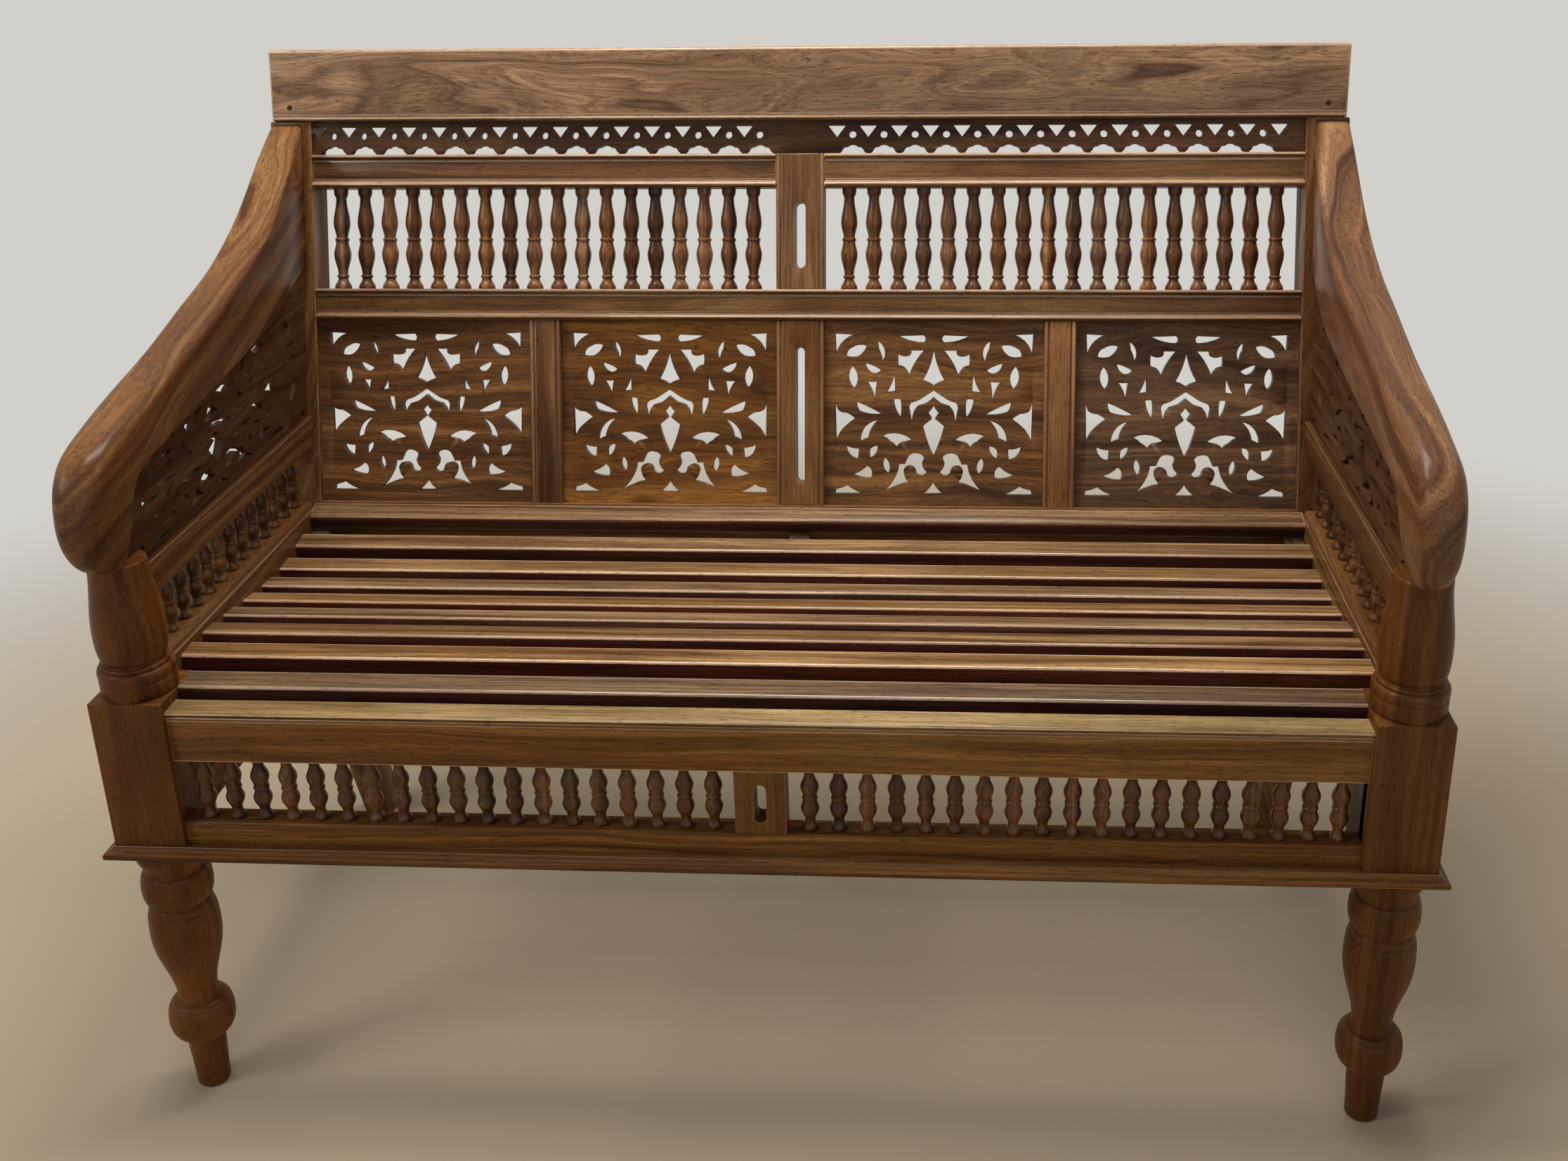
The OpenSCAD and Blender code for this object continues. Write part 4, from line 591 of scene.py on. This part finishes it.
# Finishes: the tops, the arris strips with a painted highlight, and the sides and underside in painted shade
for finish in (WOODS["slat"], WORN_AND_HIGHLIGHTED["edge"], WOODS["slat_side"]):
    slats.data.materials.append(finish)
faces_each = len(slats.data.polygons) // SLAT_COUNT
for i, polygon in enumerate(slats.data.polygons):
    face = i % faces_each
    polygon.material_index = slat_section[face][2] if face < len(slat_section) else PAINTED_SHADE
lay_grain(slats, ALONG, UP, tones=[0.20, 0.66, 0.44, 0.46, 0.60, 0.40, 0.58, 0.46],
          greys=[0.35, 0.0, 0.1, 0.3, 0.0, 0.3, 0.1, 0.2], seed=5)
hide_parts(*["seat_slat_%d" % i for i in range(1, 9)])
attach(slats, "root")


# Sawn, planed and carved pieces

ARM_LINE = (0, math.cos(math.radians(16)), math.sin(math.radians(16)))
# Beaded pieces have their up-and-out faces paled, partly as wear and partly as a painted highlight
BEADED = {"angle": 30, "rub": True}
# The front rail's moulding stands lower than the solid's, so that it shows the first slat's edge
LOWERED = [(0, 0), (405, 405), (424, 418.5), (430.5, 422.6), (432, 424), (439, 427)]

# Node, name, wood, worn arris finish (the edge one is also a painted highlight), its width in mm, grain
# direction, face direction, tone, greyness, seed, other settings
PIECES = [
    ("crest_rail", "crest_board", "crest", "edge", 1.8, ALONG, OUT_OF_BACK, 0.56, 0.35, 3,
     {"segments": 3, "rub": True}),
    ("frieze_board", "pierced_frieze", "fret", None, 0, ALONG, OUT_OF_BACK, 0.36, 0.3, 4, {}),
    ("middle_rail", "beaded_middle_rail", "rail", "edge", 1.0, ALONG, OUT_OF_BACK, 0.28, 0.2, 8, BEADED),
    ("rear_seat_rail", "rear_rail_board", "rail", "soft_edge", 1.0, ALONG, OUT_OF_BACK, 0.42, 0.1, 9, {}),
    ("rear_slat", "rear_slat_board", "slat", "edge", 1.2, ALONG, UP, 0.5, 0.3, 10, {}),
    ("centre_stile_upper", "slotted_upper_stile", "rail", "soft_edge", 0.8, UP_BACK, OUT_OF_BACK,
     0.62, 0.35, 12, {}),
    ("centre_stile_lower", "slotted_lower_stile", "rail", "soft_edge", 0.8, UP_BACK, OUT_OF_BACK,
     0.45, 0.1, 13, {}),
    ("front_seat_rail", "moulded_seat_rail", "rail", "edge", 0.9, ALONG, FRONT, 0.60, 0.0, 14,
     {"levels": LOWERED, **BEADED}),
    ("front_lower_rail", "front_lower_board", "rail", "soft_edge", 0.7, ALONG, FRONT, 0.55, 0.0, 15, {}),
    ("apron_stile", "slotted_apron_stile", "rail", "soft_edge", 0.8, UP, FRONT, 0.42, 0.0, 16, {}),
    ("base_moulding_front", "front_base_moulding", "moulding", "soft_edge", 0.5, ALONG, FRONT,
     0.48, 0.05, 17, {}),
    ("rear_lower_rail", "rear_lower_board", "frame", "soft_edge", 1.0, ALONG, TO_BACK, 0.5, 0.3, 18, {}),
    ("corner_blocks", "glued_corner_blocks", "frame", None, 0.8, UP, FRONT, 0.5, 0.4, 19, {}),
    ("seat_bearer_middle", "middle_bearer", "frame", None, 0.6, TO_BACK, SIDE, 0.45, 0.4, 20, {}),
    ("crest_pegs", "crest_peg_heads", "peg", None, 0.3, FRONT, UP, 0.5, 0.0, 21, {}),
    ("rail_pegs", "rail_peg_heads", "peg", None, 0, FRONT, UP, 0.5, 0.0, 22, {}),
    ("arm_dowels", "hidden_arm_dowels", "peg", None, 0, UP, FRONT, 0.5, 0.0, 23, {}),
]
# Each pierced panel's tone and greyness. They were sawn further from the heart than the rest
for i, (tone, grey) in enumerate([(0.60, 0.2), (0.56, 0.0), (0.50, 0.2), (0.38, 0.5)]):
    PIECES.append(("pierced_panel_%d" % (i + 1), "pierced_board_%d" % (i + 1), "panel", None, 0,
                   ALONG, OUT_OF_BACK, tone, grey, 50 + i, {"pith": (0.09, 0.14)}))
# The same for pieces in pairs, with the tones and greyness of the left and the right one
PAIRS = [
    ("front_post", "turned_front_post", "post", None, 0.7, UP, FRONT, (0.70, 0.42), (0.0, 0.0), 60,
     {"angle": 50, "smooth": 40}),
    ("rear_post", "sawn_rear_post", "rail", "soft_edge", 1.5, UP, FRONT, (0.36, 0.36), (0.1, 0.1), 64, {}),
    ("upper_rail", "beaded_upper_rail", "rail", "edge", 1.0, ALONG, OUT_OF_BACK, (0.46, 0.6),
     (0.35, 0.35), 68, BEADED),
    ("panel_divider", "beaded_divider", "rail", "soft_edge", 0.7, UP_BACK, OUT_OF_BACK, (0.46, 1.0),
     (0.2, 0.2), 72, {}),
    # The right arm is lighter and greyer than the left, partly as a painted sheen along its top
    ("arm", "swept_arm", "arm", None, 0, ARM_LINE, SIDE, (0.46, 0.72), (0.1, 0.3), 76, {"smooth": 50}),
    ("side_fret", "pierced_side", "fret", None, 0, TO_BACK, SIDE, (0.32, 0.32), (0.05, 0.05), 80, {}),
    ("side_mid_rail", "side_middle_board", "rail", "soft_edge", 1.2, TO_BACK, SIDE, (0.2, 0.2),
     (0.1, 0.1), 84, {}),
    ("side_seat_rail", "side_seat_board", "rail", "edge", 1.0, TO_BACK, SIDE, (0.3, 0.3), (0.1, 0.1), 88, {}),
    ("side_lower_rail", "side_lower_board", "rail", "soft_edge", 0.8, TO_BACK, SIDE, (0.4, 0.4),
     (0.1, 0.1), 92, {}),
    ("base_moulding", "side_base_moulding", "moulding", "soft_edge", 0.5, TO_BACK, SIDE, (0.42, 0.42),
     (0.05, 0.05), 96, {}),
    ("seat_bearer", "side_bearer", "frame", None, 0.6, TO_BACK, SIDE, (0.45, 0.45), (0.4, 0.4), 100, {}),
]
for node, name, wood, edge, width, along, face, tones, greys, seed, more in PAIRS:
    for side, end, tone, grey in zip((-1, 1), ("_left", "_right"), tones, greys):
        PIECES.append((node + end, name + end, wood, edge, width, along, face, tone, grey, seed + side, more))
for node, name, wood, edge, width, along, face, tone, grey, seed, more in PIECES:
    piece = eased(node, name, wood, edge, width, along, face, tones=[tone], greys=[grey], seed=seed, **more)
    if node == "front_seat_rail":
        # Its top, above 400 mm, is rubbed by legs, and painted paler as a sheen
        refinish(piece, WORN_AND_HIGHLIGHTED["nosing"], lambda f: f.normal.z > MOSTLY and f.center.z > 400 * MM)
    if node == "rear_slat":
        # Its front edge is darkened like those of the other slats, as painted shade
        refinish(piece, WOODS["slat_side"], lambda f: f.normal.y < -MOSTLY)


# Floor, light and camera

def seen_rays(tree):
    """One for rays that show the background, to the camera or in gloss and glass, and nought for the rest"""
    rays = put(tree, "ShaderNodeLightPath").outputs
    direct = put(tree, "ShaderNodeMath", {0: rays["Is Camera Ray"], 1: rays["Is Glossy Ray"]},
                 operation="MAXIMUM")
    return put(tree, "ShaderNodeMath", {0: direct, 1: rays["Is Transmission Ray"]}, operation="MAXIMUM")


BACKDROP = "#d2d0ca"
# Strengths: at full strength a colour shows as it is written, and the room lights the bench with much less
FULL_STRENGTH, ROOM_LIGHT = 1.0, 0.16
FLOOR_REACH = 30


def painted_floor(name, near):
    """Matt painted floor. The eye gets a plain warm surface that takes the bench's soft shadow, and pales
    into the backdrop from 0.9 to 2 metres away from the middle."""
    mat = bpy.data.materials.new(name)
    mat.use_nodes = True
    tree = mat.node_tree
    tree.nodes.clear()
    place = put(tree, "ShaderNodeTexCoord").outputs["Object"]
    distance = put(tree, "ShaderNodeVectorMath", {0: place}, operation="LENGTH").outputs["Value"]
    beyond = put(tree, "ShaderNodeMapRange", {"Value": distance, "From Min": 0.9, "From Max": 2.0},
                 interpolation_type="SMOOTHSTEP")
    share = put(tree, "ShaderNodeMath", {0: beyond, 1: seen_rays(tree)}, operation="MULTIPLY")
    matt = put(tree, "ShaderNodeBsdfPrincipled", {
        "Base Color": linear(near), "Roughness": 0.9, "Specular IOR Level": 0.1})
    backdrop = put(tree, "ShaderNodeEmission", {"Color": linear(BACKDROP), "Strength": FULL_STRENGTH})
    mixed = put(tree, "ShaderNodeMixShader", {0: share, 1: matt, 2: backdrop})
    put(tree, "ShaderNodeOutputMaterial", {"Surface": mixed})
    return mat


floor_mesh = bpy.data.meshes.new("floor")
corners = [(x * FLOOR_REACH, y * FLOOR_REACH, 0) for x, y in ((-1, -1), (1, -1), (1, 1), (-1, 1))]
floor_mesh.from_pydata(corners, [], [(0, 1, 2, 3)])
floor_mesh.materials.append(painted_floor("matt_pale_floor", "#d5c8ae"))
floor = bpy.data.objects.new("floor", floor_mesh)
bpy.context.collection.objects.link(floor)


def lamp(name, at, target, size, power, colour):
    """A rectangular softbox"""
    data = bpy.data.lights.new(name, "AREA")
    data.shape = "RECTANGLE"
    data.size, data.size_y = size
    data.energy = power
    data.color = linear(colour)[:3]
    obj = bpy.data.objects.new(name, data)
    obj.location = at
    obj.rotation_euler = (Vector(target) - Vector(at)).to_track_quat("-Z", "Y").to_euler()
    bpy.context.collection.objects.link(obj)


lamp("overhead_softbox", at=(-0.1, 0.15, 2.5), target=(0, 0, 0.4), size=(1.8, 0.45), power=44,
     colour="#fff4e6")
lamp("left_softbox", at=(-2.4, -1.4, 2.2), target=(0, 0, 0.5), size=(0.9, 0.9), power=17, colour="#fffaf2")
lamp("front_fill", at=(0.8, -3.4, 1.9), target=(0, 0, 0.4), size=(2.4, 1.6), power=9, colour="#fffdf8")

world = bpy.data.worlds.new("pale_room")
bpy.context.scene.world = world
world.use_nodes = True
world.node_tree.nodes.clear()
strength = put(world.node_tree, "ShaderNodeMapRange", {
    "Value": seen_rays(world.node_tree), "To Min": ROOM_LIGHT, "To Max": FULL_STRENGTH})
sky = put(world.node_tree, "ShaderNodeBackground", {"Color": linear(BACKDROP), "Strength": strength})
put(world.node_tree, "ShaderNodeOutputWorld", {"Surface": sky})

# The camera stands 1.2 m in front of the bench, a little right of its middle and above its crest, and looks
# down. Its turns are in radians
at = Vector((0.17118, -1.49693, 1.14285))
yaw, pitch, roll = 0.06209, 0.36158, -0.01462
cy, sy, cp, sp = math.cos(yaw), math.sin(yaw), math.cos(pitch), math.sin(pitch)
cr, sr = math.cos(roll), math.sin(roll)
about_z = Matrix(((cy, sy, 0), (-sy, cy, 0), (0, 0, 1)))
to_lens = Matrix(((1, 0, 0), (0, 0, -1), (0, 1, 0)))
about_x = Matrix(((1, 0, 0), (0, cp, -sp), (0, sp, cp)))
about_lens = Matrix(((cr, -sr, 0), (sr, cr, 0), (0, 0, 1)))
right, down, ahead = about_lens @ about_x @ to_lens @ about_z
camera_data = bpy.data.cameras.new("camera")
camera_data.lens = 37.636
camera_data.sensor_width = 36
camera_data.sensor_fit = "HORIZONTAL"
camera_data.shift_x, camera_data.shift_y = -0.04993, -0.08148
camera = bpy.data.objects.new("camera", camera_data)
camera.matrix_world = Matrix((
    (right.x, -down.x, -ahead.x, at.x), (right.y, -down.y, -ahead.y, at.y),
    (right.z, -down.z, -ahead.z, at.z), (0, 0, 0, 1)))
bpy.context.collection.objects.link(camera)
bpy.context.scene.camera = camera
bpy.context.scene.view_settings.view_transform = "Standard"
